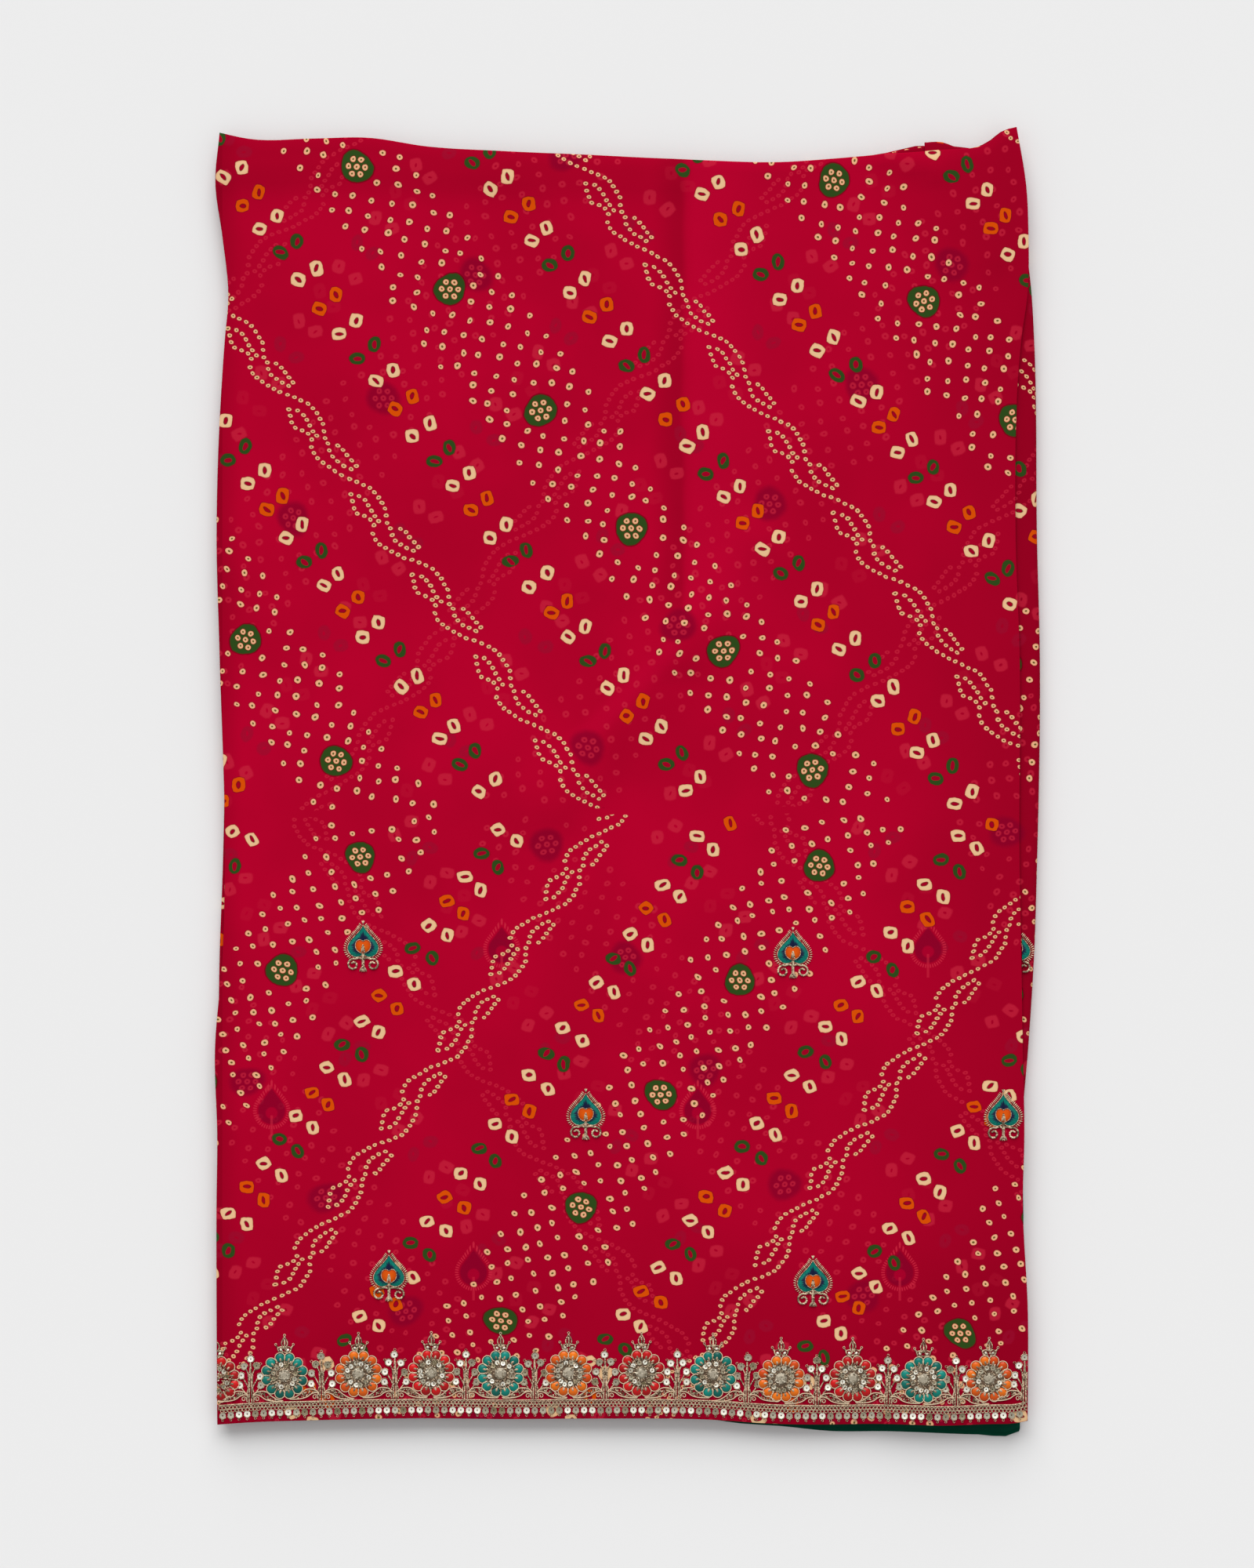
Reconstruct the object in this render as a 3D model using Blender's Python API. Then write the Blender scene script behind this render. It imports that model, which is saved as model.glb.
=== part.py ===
"""A bandhani saree of sheer georgette, folded in half three times, on its plain folded blouse cloth.

It lies face up: +X runs across the folds, +Y up the cloth's width to its top selvedge, and +Z up from
the surface that it rests on. Sizes are in millimetres and become metres where they are read.
"""

from collections import namedtuple
from math import cos, pi, sin

import bmesh
import bpy
import numpy as np
from mathutils import Vector

MM = 0.001

CLOTH = 1.0
PITCH = 1.5
CLEARANCE = 0.3
TRIM_CLEARANCE = 0.4
BLOUSE_TOP = PITCH + CLOTH
SEAT = BLOUSE_TOP + CLEARANCE
SMALL_TURN_STEPS = 4
WIDE_TURN_STEPS = 6
WIDE_TURN_LEVELS = 2

# Where the folds lie at each height, measured from the middle of the whole. The front layer is folded on
# both sides, the wrap goes from under its right edge round to the bottom layer, and the tuck is the
# inner fold of the cloth that is pleated away under the front layer.
SIDE_LINES = "front_left under_left front_right wrap_right tuck blouse_left blouse_right"
Side = namedtuple("Side", "height " + SIDE_LINES)
SIDES = (
    Side(554, -347.5, -343.5, 331.5, 328.0, 253, -334, 318.0),
    Side(509, -351.0, -347.0, 339.5, 336.0, 254, -335, 323.0),
    Side(466, -345.0, -341.5, 341.5, 339.5, 255, -334, 327.0),
    Side(416, -340.0, -337.5, 340.8, 345.0, 256, -331, 331.0),
    Side(379, -343.0, -340.0, 336.0, 347.0, 256, -332, 333.0),
    Side(206, -350.0, -347.0, 330.7, 349.5, 254, -336, 334.0),
    Side(112, -347.5, -344.0, 334.0, 351.8, 253, -336, 335.0),
    Side(-68, -343.0, -345.2, 334.0, 349.5, 254, -337, 335.5),
    Side(-148, -345.0, -348.0, 335.4, 347.0, 255, -338, 335.5),
    Side(-228, -351.4, -348.8, 336.7, 342.0, 256, -339, 336.0),
    Side(-302, -349.4, -346.8, 338.0, 336.0, 256, -339, 337.0),
    Side(-358, -350.0, -347.0, 336.7, 334.0, 255, -339, 338.4),
    Side(-455, -350.0, -347.5, 341.0, 337.5, 254, -338, 337.0),
    Side(-546, -349.4, -346.8, 340.8, 336.0, 253, -336, 335.4),
)

# Where the top selvedge and the hem lie at each place across. Right of the middle the selvedge of the
# front layer rolls away from the one behind it, and near the corner both rise to a horn.
End = namedtuple("End", "across front_top back_top hem")
ENDS = (
    End(-352, 554.0, 553.0, -546.7),
    End(-321, 547.5, 546.0, -544.5),
    End(-267, 548.0, 546.5, -542.7),
    End(-221, 548.7, 547.0, -541.5),
    End(-171, 541.3, 540.0, -541.0),
    End(-107, 537.3, 536.0, -541.7),
    End(-37, 534.3, 533.0, -541.3),
    End(66, 529.3, 528.0, -542.0),
    End(133, 528.0, 527.5, -546.0),
    End(173, 530.7, 531.0, -546.3),
    End(213, 534.0, 536.0, -545.7),
    End(247, 536.0, 543.5, -546.3),
    End(267, 538.0, 545.0, -547.0),
    End(285, 538.7, 539.5, -546.5),
    End(307, 543.3, 545.0, -545.6),
    End(318, 552.0, 553.5, -545.4),
    End(328, 557.4, 556.6, -545.2),
    End(342, 553.0, 552.0, -542.5),
    End(352, 550.0, 548.0, -541.0),
)

# The lower edge of the blouse cloth, which shows under the hem to the right of the middle.
Edge = namedtuple("Edge", "across hem")
BLOUSE_HEM = (
    Edge(-340, -537.0),
    Edge(-200, -540.5),
    Edge(-157, -542.6),
    Edge(-107, -541.5),
    Edge(0, -541.0),
    Edge(66, -543.0),
    Edge(90, -546.8),
    Edge(133, -550.0),
    Edge(173, -554.0),
    Edge(220, -554.2),
    Edge(300, -557.0),
    Edge(328, -557.4),
    Edge(334, -555.0),
    Edge(339, -548.0),
)
BLOUSE_HEIGHT = 520.0
BLOUSE_UPPER_EDGE_IN = 3.5

# The turns between one pass of the cloth and the next, with the free ends first and last: the side line
# that each follows, how far inside that line, the selvedge and the hem it stays, and its share of the
# back selvedge's line.
Turn = namedtuple("Turn", "line inset top_in hem_in back")
TURNS = (
    Turn("under_left", 9.0, 4.0, 5.0, 1.0),
    Turn("wrap_right", 6.0, 2.0, 3.0, 1.0),
    Turn("under_left", 5.0, 5.0, 6.0, 1.0),
    Turn("wrap_right", 3.0, 3.0, 4.0, 1.0),
    Turn("front_left", 0.0, 0.0, 0.0, 0.0),
    Turn("front_right", 0.0, 0.0, 0.0, 0.0),
    Turn("tuck", 0.0, 0.0, 1.5, 1.0),
    Turn("wrap_right", 0.0, 0.0, 1.5, 1.0),
    Turn("under_left", 0.0, 3.0, 4.0, 1.0),
    Turn("wrap_right", 9.0, 4.0, 5.0, 1.0),
    Turn("under_left", 14.0, 6.0, 7.0, 1.0),
)

TURN_INSETS = ("top_in", "hem_in", "back")

UNDER_COLUMNS = (-267, -107, 66, 173, 213, 247, 285, 307, 316)
TUCK_COLUMNS = (267, 285, 307)
TUCK_RISE_START = 195
TUCK_RISE_END = 247
CLIMB_COLUMNS = (195, 208, 221, 234, 247)
FRONT_COLUMNS = (-321, -267, -221, -171, -107, -37, 66, 133, 173, *CLIMB_COLUMNS, 267, 285, 307, 320)
BLOUSE_COLUMNS = (-200, -157, -107, 0, 66, 90, 133, 173, 220, 300)
BLOUSE_CORNER_COLUMNS = (9, 4)

# The passes of the cloth in the order of its length, from side to side, with their levels in the stack.
# The front pass starts at level 7 and climbs over its own tuck to level 9.
Pass = namedtuple("Pass", "level_from level_to columns")
PASSES = (
    Pass(5, 5, UNDER_COLUMNS),
    Pass(2, 2, UNDER_COLUMNS),
    Pass(1, 1, UNDER_COLUMNS),
    Pass(6, 6, UNDER_COLUMNS),
    Pass(7, 9, FRONT_COLUMNS),
    Pass(8, 8, TUCK_COLUMNS),
    Pass(7, 7, TUCK_COLUMNS),
    Pass(0, 0, UNDER_COLUMNS),
    Pass(3, 3, UNDER_COLUMNS),
    Pass(4, 4, UNDER_COLUMNS),
)
FRONT = PASSES[4]

BRAID_ABOVE_HEM = 10.8
BRAID_WIDTH = 5.2
BRAID_RISE = 0.8
BRAID_SIDE_IN = 3.0

PETALS = 12
POINTS_A_PETAL = 3
ROSETTE_RADIUS = 19.4
SCALLOP = 0.87
STONES_RADIUS = 12.4
PETAL_RISE = 0.9
STONES_RISE = 2.2
ROSETTES_ABOVE_HEM = 38.3
ROSETTE_COLOURS = ("teal", "orange", "red")
ROSETTES_ACROSS = (-292, -229, -167, -108, -50, 12, 73, 131, 192, 252, 308)

# Half the width of a feather motif at each distance down from its tip: the eye, and the scrolls below it.
Outline = namedtuple("Outline", "down half")
FEATHER = (
    Outline(0, 0.8),
    Outline(5, 4.8),
    Outline(10, 9.5),
    Outline(14.8, 13.6),
    Outline(18.5, 16.3),
    Outline(21.5, 17.1),
    Outline(26, 15.8),
    Outline(29.6, 14.0),
    Outline(32, 11.5),
    Outline(34, 12.6),
    Outline(38, 13.4),
    Outline(42, 12.0),
    Outline(44.5, 8.5),
    Outline(46, 4.0),
    Outline(47, 2.0),
)
FEATHER_RISE = 1.0
Place = namedtuple("Place", "across height")
FEATHERS = (
    Place(-225.0, -139.4),
    Place(141, -145),
    Place(-35.4, -282.5),
    Place(320, -283),
    Place(-203, -420),
    Place(158.1, -424.6),
)

Finish = namedtuple("Finish", "colour roughness metallic")
FINISHES = {
    "red georgette": Finish((0.42, 0.0, 0.019), 0.75, 0.0),
    "green cloth": Finish((0.004, 0.028, 0.018), 0.8, 0.0),
    "silver thread": Finish((0.55, 0.47, 0.38), 0.4, 0.8),
    "teal": Finish((0.01, 0.22, 0.23), 0.35, 0.0),
    "orange": Finish((0.62, 0.15, 0.02), 0.35, 0.0),
    "red": Finish((0.55, 0.01, 0.015), 0.35, 0.0),
    "teal stitches": Finish((0.01, 0.13, 0.15), 0.5, 0.0),
}


def smooth_curve(places, values):
    """A function that runs smoothly through the values at the rising places, and stays level past them."""
    places = np.array(places, float)
    values = np.array(values, float)
    slopes = np.gradient(values, places)

    def at(place):
        i = int(np.clip(np.searchsorted(places, place) - 1, 0, len(places) - 2))
        span = places[i + 1] - places[i]
        t = float(np.clip((place - places[i]) / span, 0, 1))
        rest = 1 - t
        return float(
            values[i] * (1 + 2 * t) * rest**2
            + values[i + 1] * (3 - 2 * t) * t**2
            + slopes[i] * span * t * rest**2
            - slopes[i + 1] * span * rest * t**2
        )

    return at


def curves_of(rows, key):
    """A smooth curve for each named column of a table, over the column called key."""
    rows = sorted(rows, key=lambda row: getattr(row, key))
    places = [getattr(row, key) for row in rows]
    names = [name for name in rows[0]._fields if name != key]
    return {name: smooth_curve(places, [getattr(row, name) for row in rows]) for name in names}


side_line = curves_of(SIDES, "height")
end_line = curves_of(ENDS, "across")
blouse_hem = curves_of(BLOUSE_HEM, "across")["hem"]
LOWEST_ROW = SIDES[-1].height
HIGHEST_ROW = SIDES[0].height


def mix(a, b, share):
    return a + (b - a) * share


def ease(share):
    share = min(max(share, 0), 1)
    return share * share * (3 - 2 * share)


def level_height(level):
    """The height of the middle of the sheet at a level of the saree's stack."""
    return SEAT + CLOTH / 2 + level * PITCH


def pass_height(layer, across):
    """The height of the middle of a pass, which climbs where its cloth goes over the tuck."""
    climb = ease((across - TUCK_RISE_START) / (TUCK_RISE_END - TUCK_RISE_START))
    return level_height(mix(layer.level_from, layer.level_to, climb))


def saree_point(across, up, share, turn):
    """A point at this share of the way from hem to selvedge, by the insets of a turn or between turns."""
    top = mix(end_line["front_top"](across), end_line["back_top"](across), turn.back) - turn.top_in
    hem = end_line["hem"](across) + turn.hem_in
    return Vector((across, mix(hem, top, share), up))


def between(first, second, share):
    """What a pass keeps inside the edges at a share of its way from one turn to the next."""
    kept = {name: mix(getattr(first, name), getattr(second, name), share) for name in TURN_INSETS}
    return second._replace(**kept)


def round_turn(edge, heading, here, there, levels):
    """Half an ellipse from one pass to the next, as pairs of a place across and a height."""
    steps = WIDE_TURN_STEPS if levels > WIDE_TURN_LEVELS else SMALL_TURN_STEPS
    radius = levels * PITCH / 2
    line = []
    for step in range(steps + 1):
        angle = pi * step / steps
        line.append((edge - heading * radius * (1 - sin(angle)), mix(there, here, (1 + cos(angle)) / 2)))
    return line


def saree_section(height):
    """The folded cloth's section at one row, from its one free end to the other."""
    share = (height - LOWEST_ROW) / (HIGHEST_ROW - LOWEST_ROW)
    radii = [abs(a.level_to - b.level_from) * PITCH / 2 for a, b in zip(PASSES, PASSES[1:])]
    radii = [0, *radii, 0]
    points = []
    for i, layer in enumerate(PASSES):
        heading = 1 if i % 2 == 0 else -1
        first, second = TURNS[i], TURNS[i + 1]
        edge = side_line[second.line](height) - heading * second.inset
        start = side_line[first.line](height) + heading * (first.inset + radii[i])
        stop = edge - heading * radii[i + 1]
        if i == 0:
            points.append(saree_point(start, pass_height(layer, start), share, first))
        for across in layer.columns[::heading]:
            kept = between(first, second, (across - start) / (stop - start))
            points.append(saree_point(across, pass_height(layer, across), share, kept))
        if i + 1 == len(PASSES):
            points.append(saree_point(stop, pass_height(layer, stop), share, second))
            continue
        levels = abs(layer.level_to - PASSES[i + 1].level_from)
        here = level_height(layer.level_to)
        there = level_height(PASSES[i + 1].level_from)
        for across, up in round_turn(edge, heading, here, there, levels):
            points.append(saree_point(across, up, share, second))
    return points


def blouse_section(height):
    """The blouse cloth's section: its lower layer, the turn on the right, and its upper layer."""
    share = (height - LOWEST_ROW) / (HIGHEST_ROW - LOWEST_ROW)
    left = side_line["blouse_left"](height)
    right = side_line["blouse_right"](height)
    lower, upper = CLOTH / 2, CLOTH / 2 + PITCH
    columns = [left, *BLOUSE_COLUMNS, *[right - inside for inside in BLOUSE_CORNER_COLUMNS]]
    line = [(across, lower) for across in columns]
    line += round_turn(right, 1, lower, upper, 1)
    line += [(across, upper) for across in reversed(columns)]
    points = []
    for across, up in line:
        edge_in = BLOUSE_UPPER_EDGE_IN * (up - lower) / PITCH
        points.append(Vector((across, mix(blouse_hem(across) + edge_in, BLOUSE_HEIGHT, share), up)))
    return points


def loft(sections):
    """Skins open sections of equal length by extruding the edges of each row to the next one."""
    cloth = bmesh.new()
    line = [cloth.verts.new(point * MM) for point in sections[0]]
    edges = [cloth.edges.new(pair) for pair in zip(line, line[1:])]
    for section in sections[1:]:
        grown = bmesh.ops.extrude_edge_only(cloth, edges=edges)["geom"]
        fresh = {item for item in grown if isinstance(item, bmesh.types.BMVert)}
        line = [next(e.other_vert(v) for e in v.link_edges if e.other_vert(v) in fresh) for v in line]
        edges = [cloth.edges.get(pair) for pair in zip(line, line[1:])]
        for vertex, point in zip(line, section):
            vertex.co = point * MM
    bmesh.ops.recalc_face_normals(cloth, faces=cloth.faces)
    return cloth


def material(name):
    finish = FINISHES[name]
    made = bpy.data.materials.get(name) or bpy.data.materials.new(name)
    made.use_nodes = True
    shader = made.node_tree.nodes["Principled BSDF"]
    shader.inputs["Base Color"].default_value = (*finish.colour, 1)
    shader.inputs["Roughness"].default_value = finish.roughness
    shader.inputs["Metallic"].default_value = finish.metallic
    return made


def add_object(name, shape, finish, smooth=True):
    mesh = bpy.data.meshes.new(name)
    shape.to_mesh(mesh)
    shape.free()
    if smooth:
        mesh.shade_smooth()
        mesh.set_sharp_from_angle(angle=pi / 4)
    mesh.materials.append(material(finish))
    made = bpy.data.objects.new(name, mesh)
    bpy.context.collection.objects.link(made)
    return made


def add_sheet(name, sections, finish):
    sheet = add_object(name, loft(sections), finish)
    thickness = sheet.modifiers.new("cloth thickness", "SOLIDIFY")
    thickness.thickness = CLOTH * MM
    thickness.offset = 0
    thickness.use_even_offset = True
    thickness.use_quality_normals = True


def trim_height(across):
    """The height at which trim lies on the face of the front layer."""
    return pass_height(FRONT, across) + CLOTH / 2 + TRIM_CLEARANCE


def lay_on_front(flat, rise):
    """Turns a flat piece in millimetres into a solid on the front layer, as high as rise says."""
    top = bmesh.ops.extrude_face_region(flat, geom=list(flat.faces))["geom"]
    raised = {item for item in top if isinstance(item, bmesh.types.BMVert)}
    for vertex in flat.verts:
        above = rise(vertex.co) if vertex in raised else 0
        vertex.co.z = trim_height(vertex.co.x) + above
    bmesh.ops.scale(flat, vec=(MM, MM, MM), verts=flat.verts)
    bmesh.ops.recalc_face_normals(flat, faces=flat.faces)
    return flat


def add_braid():
    """The silver braid that runs along the hem of the front layer, from side to side."""
    left = side_line["front_left"](LOWEST_ROW) + BRAID_SIDE_IN
    right = side_line["front_right"](LOWEST_ROW) - BRAID_SIDE_IN
    columns = [left, *FRONT_COLUMNS, right]
    flat = bmesh.new()
    line = [flat.verts.new((x, end_line["hem"](x) + BRAID_ABOVE_HEM, 0)) for x in columns]
    edges = [flat.edges.new(pair) for pair in zip(line, line[1:])]
    grown = bmesh.ops.extrude_edge_only(flat, edges=edges)["geom"]
    upper = [item for item in grown if isinstance(item, bmesh.types.BMVert)]
    bmesh.ops.translate(flat, verts=upper, vec=(0, BRAID_WIDTH, 0))
    add_object("hem_braid", lay_on_front(flat, lambda place: BRAID_RISE), "silver thread", smooth=False)


def add_rosette(name, across, finish):
    """A round of petals with a raised cluster of stones in the middle."""
    flat = bmesh.new()
    bmesh.ops.create_circle(flat, cap_ends=True, segments=POINTS_A_PETAL * PETALS, radius=ROSETTE_RADIUS)
    for vertex in list(flat.verts)[::POINTS_A_PETAL]:
        vertex.co *= SCALLOP
    rim = list(flat.verts)
    inner = ROSETTE_RADIUS * (1 + SCALLOP) / 2 - STONES_RADIUS
    bmesh.ops.inset_region(flat, faces=list(flat.faces), thickness=inner, use_boundary=True)
    middle = max(flat.faces, key=lambda face: len(face.verts))
    inner_ring = set(middle.verts)
    for vertex in rim:
        linked = [edge.other_vert(vertex) for edge in vertex.link_edges]
        inward = next(other for other in linked if other in inner_ring)
        inward.co = vertex.co.normalized() * STONES_RADIUS
    bmesh.ops.poke(flat, faces=[middle])
    centre = Vector((across, end_line["hem"](across) + ROSETTES_ABOVE_HEM, 0))
    rim_reach = min(vertex.co.length for vertex in rim)
    petals_from = (rim_reach + STONES_RADIUS) / 2
    bmesh.ops.translate(flat, verts=flat.verts, vec=centre)

    def rise(place):
        from_centre = (Vector((place.x, place.y, 0)) - centre).length
        return PETAL_RISE if from_centre > petals_from else STONES_RISE

    add_object(name, lay_on_front(flat, rise), finish, smooth=False)


def add_feather(name, place):
    """A feather motif in satin stitch: a pointed eye above two scrolls and a stem."""
    flat = bmesh.new()
    tip = place.height + FEATHER[-1].down / 2
    right = [flat.verts.new((place.across + row.half, tip - row.down, 0)) for row in FEATHER]
    left = [flat.verts.new((place.across - row.half, tip - row.down, 0)) for row in FEATHER]
    for i in range(len(FEATHER) - 1):
        flat.faces.new((left[i], left[i + 1], right[i + 1], right[i]))
    add_object(name, lay_on_front(flat, lambda point: FEATHER_RISE), "teal stitches", smooth=False)


def main():
    for item in list(bpy.data.objects):
        bpy.data.objects.remove(item)
    heights = [row.height for row in SIDES]
    add_sheet("saree_cloth", [saree_section(height) for height in heights], "red georgette")
    add_sheet("blouse_cloth", [blouse_section(height) for height in heights], "green cloth")
    add_braid()
    for i, across in enumerate(ROSETTES_ACROSS):
        add_rosette(f"rosette_{i + 1:02d}", across, ROSETTE_COLOURS[i % len(ROSETTE_COLOURS)])
    for i, place in enumerate(FEATHERS):
        add_feather(f"feather_{i + 1:02d}", place)


main()
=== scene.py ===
# %% [markdown]
# # A folded bandhani saree
# Bandhani is tie-dyed cloth: pinches of cloth are bound with thread before the red dye, and each
# binding leaves a small pale ring. This one is sheer georgette, 5.5 m long, folded in half three times.
# It lies on its plain green blouse cloth, and silver embroidery, glossy petals and sequins run along its
# hem. The lesson dresses a fixed frame of plain solids: the cloth gets its print and its soft creases,
# and each piece of embroidery is made from threads, beads and stones.

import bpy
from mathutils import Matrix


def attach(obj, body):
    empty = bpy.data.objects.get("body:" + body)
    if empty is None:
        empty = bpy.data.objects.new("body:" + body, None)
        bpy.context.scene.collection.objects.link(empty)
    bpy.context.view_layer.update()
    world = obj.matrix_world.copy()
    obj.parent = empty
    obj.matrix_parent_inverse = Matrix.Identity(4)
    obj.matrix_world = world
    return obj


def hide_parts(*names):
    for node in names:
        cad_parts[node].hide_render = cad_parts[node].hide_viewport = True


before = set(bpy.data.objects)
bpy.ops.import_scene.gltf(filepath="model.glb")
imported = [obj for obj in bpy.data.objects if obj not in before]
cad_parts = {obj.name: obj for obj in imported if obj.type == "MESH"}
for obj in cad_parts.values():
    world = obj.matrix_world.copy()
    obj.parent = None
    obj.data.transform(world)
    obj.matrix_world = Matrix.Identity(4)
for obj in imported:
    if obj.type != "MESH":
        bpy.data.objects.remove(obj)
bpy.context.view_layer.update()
print("nodes in the frame:", len(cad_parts))

# %% Libraries
from collections import namedtuple
from math import cos, hypot, pi, radians, sin, tau

import bmesh
import bpy
import numpy as np
from mathutils import Vector

rng = np.random.default_rng(7)
scene = bpy.context.scene
scene.view_settings.view_transform = "Standard"

# %% [markdown]
# ## The sizes of the folded cloth
# The solids were lofted from a few tables: where the side folds lie at each height, where the top
# selvedge and the hem lie at each place across, and how far each turn stays inside those lines.
# The same tables serve here, with finer steps. All sizes are in millimetres.

# %% The edges of the stack
MM = 0.001
CLOTH = 1.0
PITCH = 1.5
CLEARANCE = 0.3
SEAT = PITCH + CLOTH + CLEARANCE

SIDE_LINES = "front_left under_left front_right wrap_right tuck blouse_left blouse_right"
Side = namedtuple("Side", "height " + SIDE_LINES)
SIDES = (
    Side(554, -347.5, -343.5, 331.5, 328.0, 253, -334, 318.0),
    Side(509, -351.0, -347.0, 339.5, 336.0, 254, -335, 323.0),
    Side(466, -345.0, -341.5, 341.5, 339.5, 255, -334, 327.0),
    Side(416, -340.0, -337.5, 340.8, 345.0, 256, -331, 331.0),
    Side(379, -343.0, -340.0, 336.0, 347.0, 256, -332, 333.0),
    Side(206, -350.0, -347.0, 330.7, 349.5, 254, -336, 334.0),
    Side(112, -347.5, -344.0, 334.0, 351.8, 253, -336, 335.0),
    Side(-68, -343.0, -345.2, 334.0, 349.5, 254, -337, 335.5),
    Side(-148, -345.0, -348.0, 335.4, 347.0, 255, -338, 335.5),
    Side(-228, -351.4, -348.8, 336.7, 342.0, 256, -339, 336.0),
    Side(-302, -349.4, -346.8, 338.0, 336.0, 256, -339, 337.0),
    Side(-358, -350.0, -347.0, 336.7, 334.0, 255, -339, 338.4),
    Side(-455, -350.0, -347.5, 341.0, 337.5, 254, -338, 337.0),
    Side(-546, -349.4, -346.8, 340.8, 336.0, 253, -336, 335.4),
)
End = namedtuple("End", "across front_top back_top hem")
ENDS = (
    End(-352, 554.0, 553.0, -546.7),
    End(-321, 547.5, 546.0, -544.5),
    End(-267, 548.0, 546.5, -542.7),
    End(-221, 548.7, 547.0, -541.5),
    End(-171, 541.3, 540.0, -541.0),
    End(-107, 537.3, 536.0, -541.7),
    End(-37, 534.3, 533.0, -541.3),
    End(66, 529.3, 528.0, -542.0),
    End(133, 528.0, 527.5, -546.0),
    End(173, 530.7, 531.0, -546.3),
    End(213, 534.0, 536.0, -545.7),
    End(247, 536.0, 543.5, -546.3),
    End(267, 538.0, 545.0, -547.0),
    End(285, 538.7, 539.5, -546.5),
    End(307, 543.3, 545.0, -545.6),
    End(318, 552.0, 553.5, -545.4),
    End(328, 557.4, 556.6, -545.2),
    End(342, 553.0, 552.0, -542.5),
    End(352, 550.0, 548.0, -541.0),
)
Edge = namedtuple("Edge", "across hem")
BLOUSE_HEM = (
    Edge(-340, -537.0),
    Edge(-200, -540.5),
    Edge(-157, -542.6),
    Edge(-107, -541.5),
    Edge(0, -541.0),
    Edge(66, -543.0),
    Edge(90, -546.8),
    Edge(133, -550.0),
    Edge(173, -554.0),
    Edge(220, -554.2),
    Edge(300, -557.0),
    Edge(328, -557.4),
    Edge(334, -555.0),
    Edge(339, -548.0),
)
BLOUSE_HEIGHT = 520.0
BLOUSE_UPPER_EDGE_IN = 3.5

# %% [markdown]
# Each pass of the saree lies at a level of the stack. A crease pressed into the front layer fades in the
# layers below it, so each pass has its share of the creases.

# %% The turns and the passes
Turn = namedtuple("Turn", "line inset top_in hem_in back")
TURNS = (
    Turn("under_left", 9.0, 4.0, 5.0, 1.0),
    Turn("wrap_right", 6.0, 2.0, 3.0, 1.0),
    Turn("under_left", 5.0, 5.0, 6.0, 1.0),
    Turn("wrap_right", 3.0, 3.0, 4.0, 1.0),
    Turn("front_left", 0.0, 0.0, 0.0, 0.0),
    Turn("front_right", 0.0, 0.0, 0.0, 0.0),
    Turn("tuck", 0.0, 0.0, 1.5, 1.0),
    Turn("wrap_right", 0.0, 0.0, 1.5, 1.0),
    Turn("under_left", 0.0, 3.0, 4.0, 1.0),
    Turn("wrap_right", 9.0, 4.0, 5.0, 1.0),
    Turn("under_left", 14.0, 6.0, 7.0, 1.0),
)
Pass = namedtuple("Pass", "level_from level_to columns crease")
INSETS = ("top_in", "hem_in", "back")
PASSES = (
    Pass(5, 5, 26, 0.40),
    Pass(2, 2, 26, 0.12),
    Pass(1, 1, 26, 0.05),
    Pass(6, 6, 40, 0.60),
    Pass(7, 9, 84, 1.00),
    Pass(8, 8, 12, 0.80),
    Pass(7, 7, 14, 0.70),
    Pass(0, 0, 26, 0.00),
    Pass(3, 3, 26, 0.20),
    Pass(4, 4, 26, 0.30),
)
FRONT = PASSES[4]
TURN_STEPS = 8
ROWS = 120
TUCK_RISE_START = 195
TUCK_RISE_END = 247


def smooth_curve(places, values):
    """A function that runs smoothly through the values at the rising places, level past both ends."""
    places = np.array(places, float)
    values = np.array(values, float)
    slopes = np.gradient(values, places)

    def at(place):
        i = np.clip(np.searchsorted(places, place) - 1, 0, len(places) - 2)
        span = places[i + 1] - places[i]
        t = np.clip((place - places[i]) / span, 0, 1)
        rest = 1 - t
        return (
            values[i] * (1 + 2 * t) * rest**2
            + values[i + 1] * (3 - 2 * t) * t**2
            + slopes[i] * span * t * rest**2
            - slopes[i + 1] * span * rest * t**2
        )

    return at


def curves_of(rows, key):
    """A smooth curve for each named column of a table, over the column called key."""
    rows = sorted(rows, key=lambda row: getattr(row, key))
    places = [getattr(row, key) for row in rows]
    names = [name for name in rows[0]._fields if name != key]
    return {name: smooth_curve(places, [getattr(row, name) for row in rows]) for name in names}


side_line = curves_of(SIDES, "height")
end_line = curves_of(ENDS, "across")
blouse_hem = curves_of(BLOUSE_HEM, "across")["hem"]
LOWEST_ROW = SIDES[-1].height
HIGHEST_ROW = SIDES[0].height


def mix(a, b, share):
    return a + (b - a) * share


def ease(share):
    share = np.clip(share, 0, 1)
    return share * share * (3 - 2 * share)


def level_height(level):
    """The height of the middle of the sheet at a level of the stack."""
    return SEAT + CLOTH / 2 + level * PITCH


def pass_height(layer, across):
    """The height of a pass, which climbs where its cloth goes over the tuck."""
    climb = ease((across - TUCK_RISE_START) / (TUCK_RISE_END - TUCK_RISE_START))
    return level_height(mix(layer.level_from, layer.level_to, climb))


print("the face is", side_line["front_right"](0) - side_line["front_left"](0), "mm wide")

# %% [markdown]
# ## The camera
# The cloth is shown from straight above. The long side of the picture spans 1.335 m at the height of
# the cloth's face, which fixes the camera's distance for its lens.

# %% Camera
PICTURE_HEIGHT = 1335.0
PICTURE_CENTRE = (-0.3, -1.3)
CAMERA_DISTANCE = 4000.0
SENSOR = 36.0
FACE_HEIGHT = level_height(FRONT.level_from) + CLOTH / 2

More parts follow.
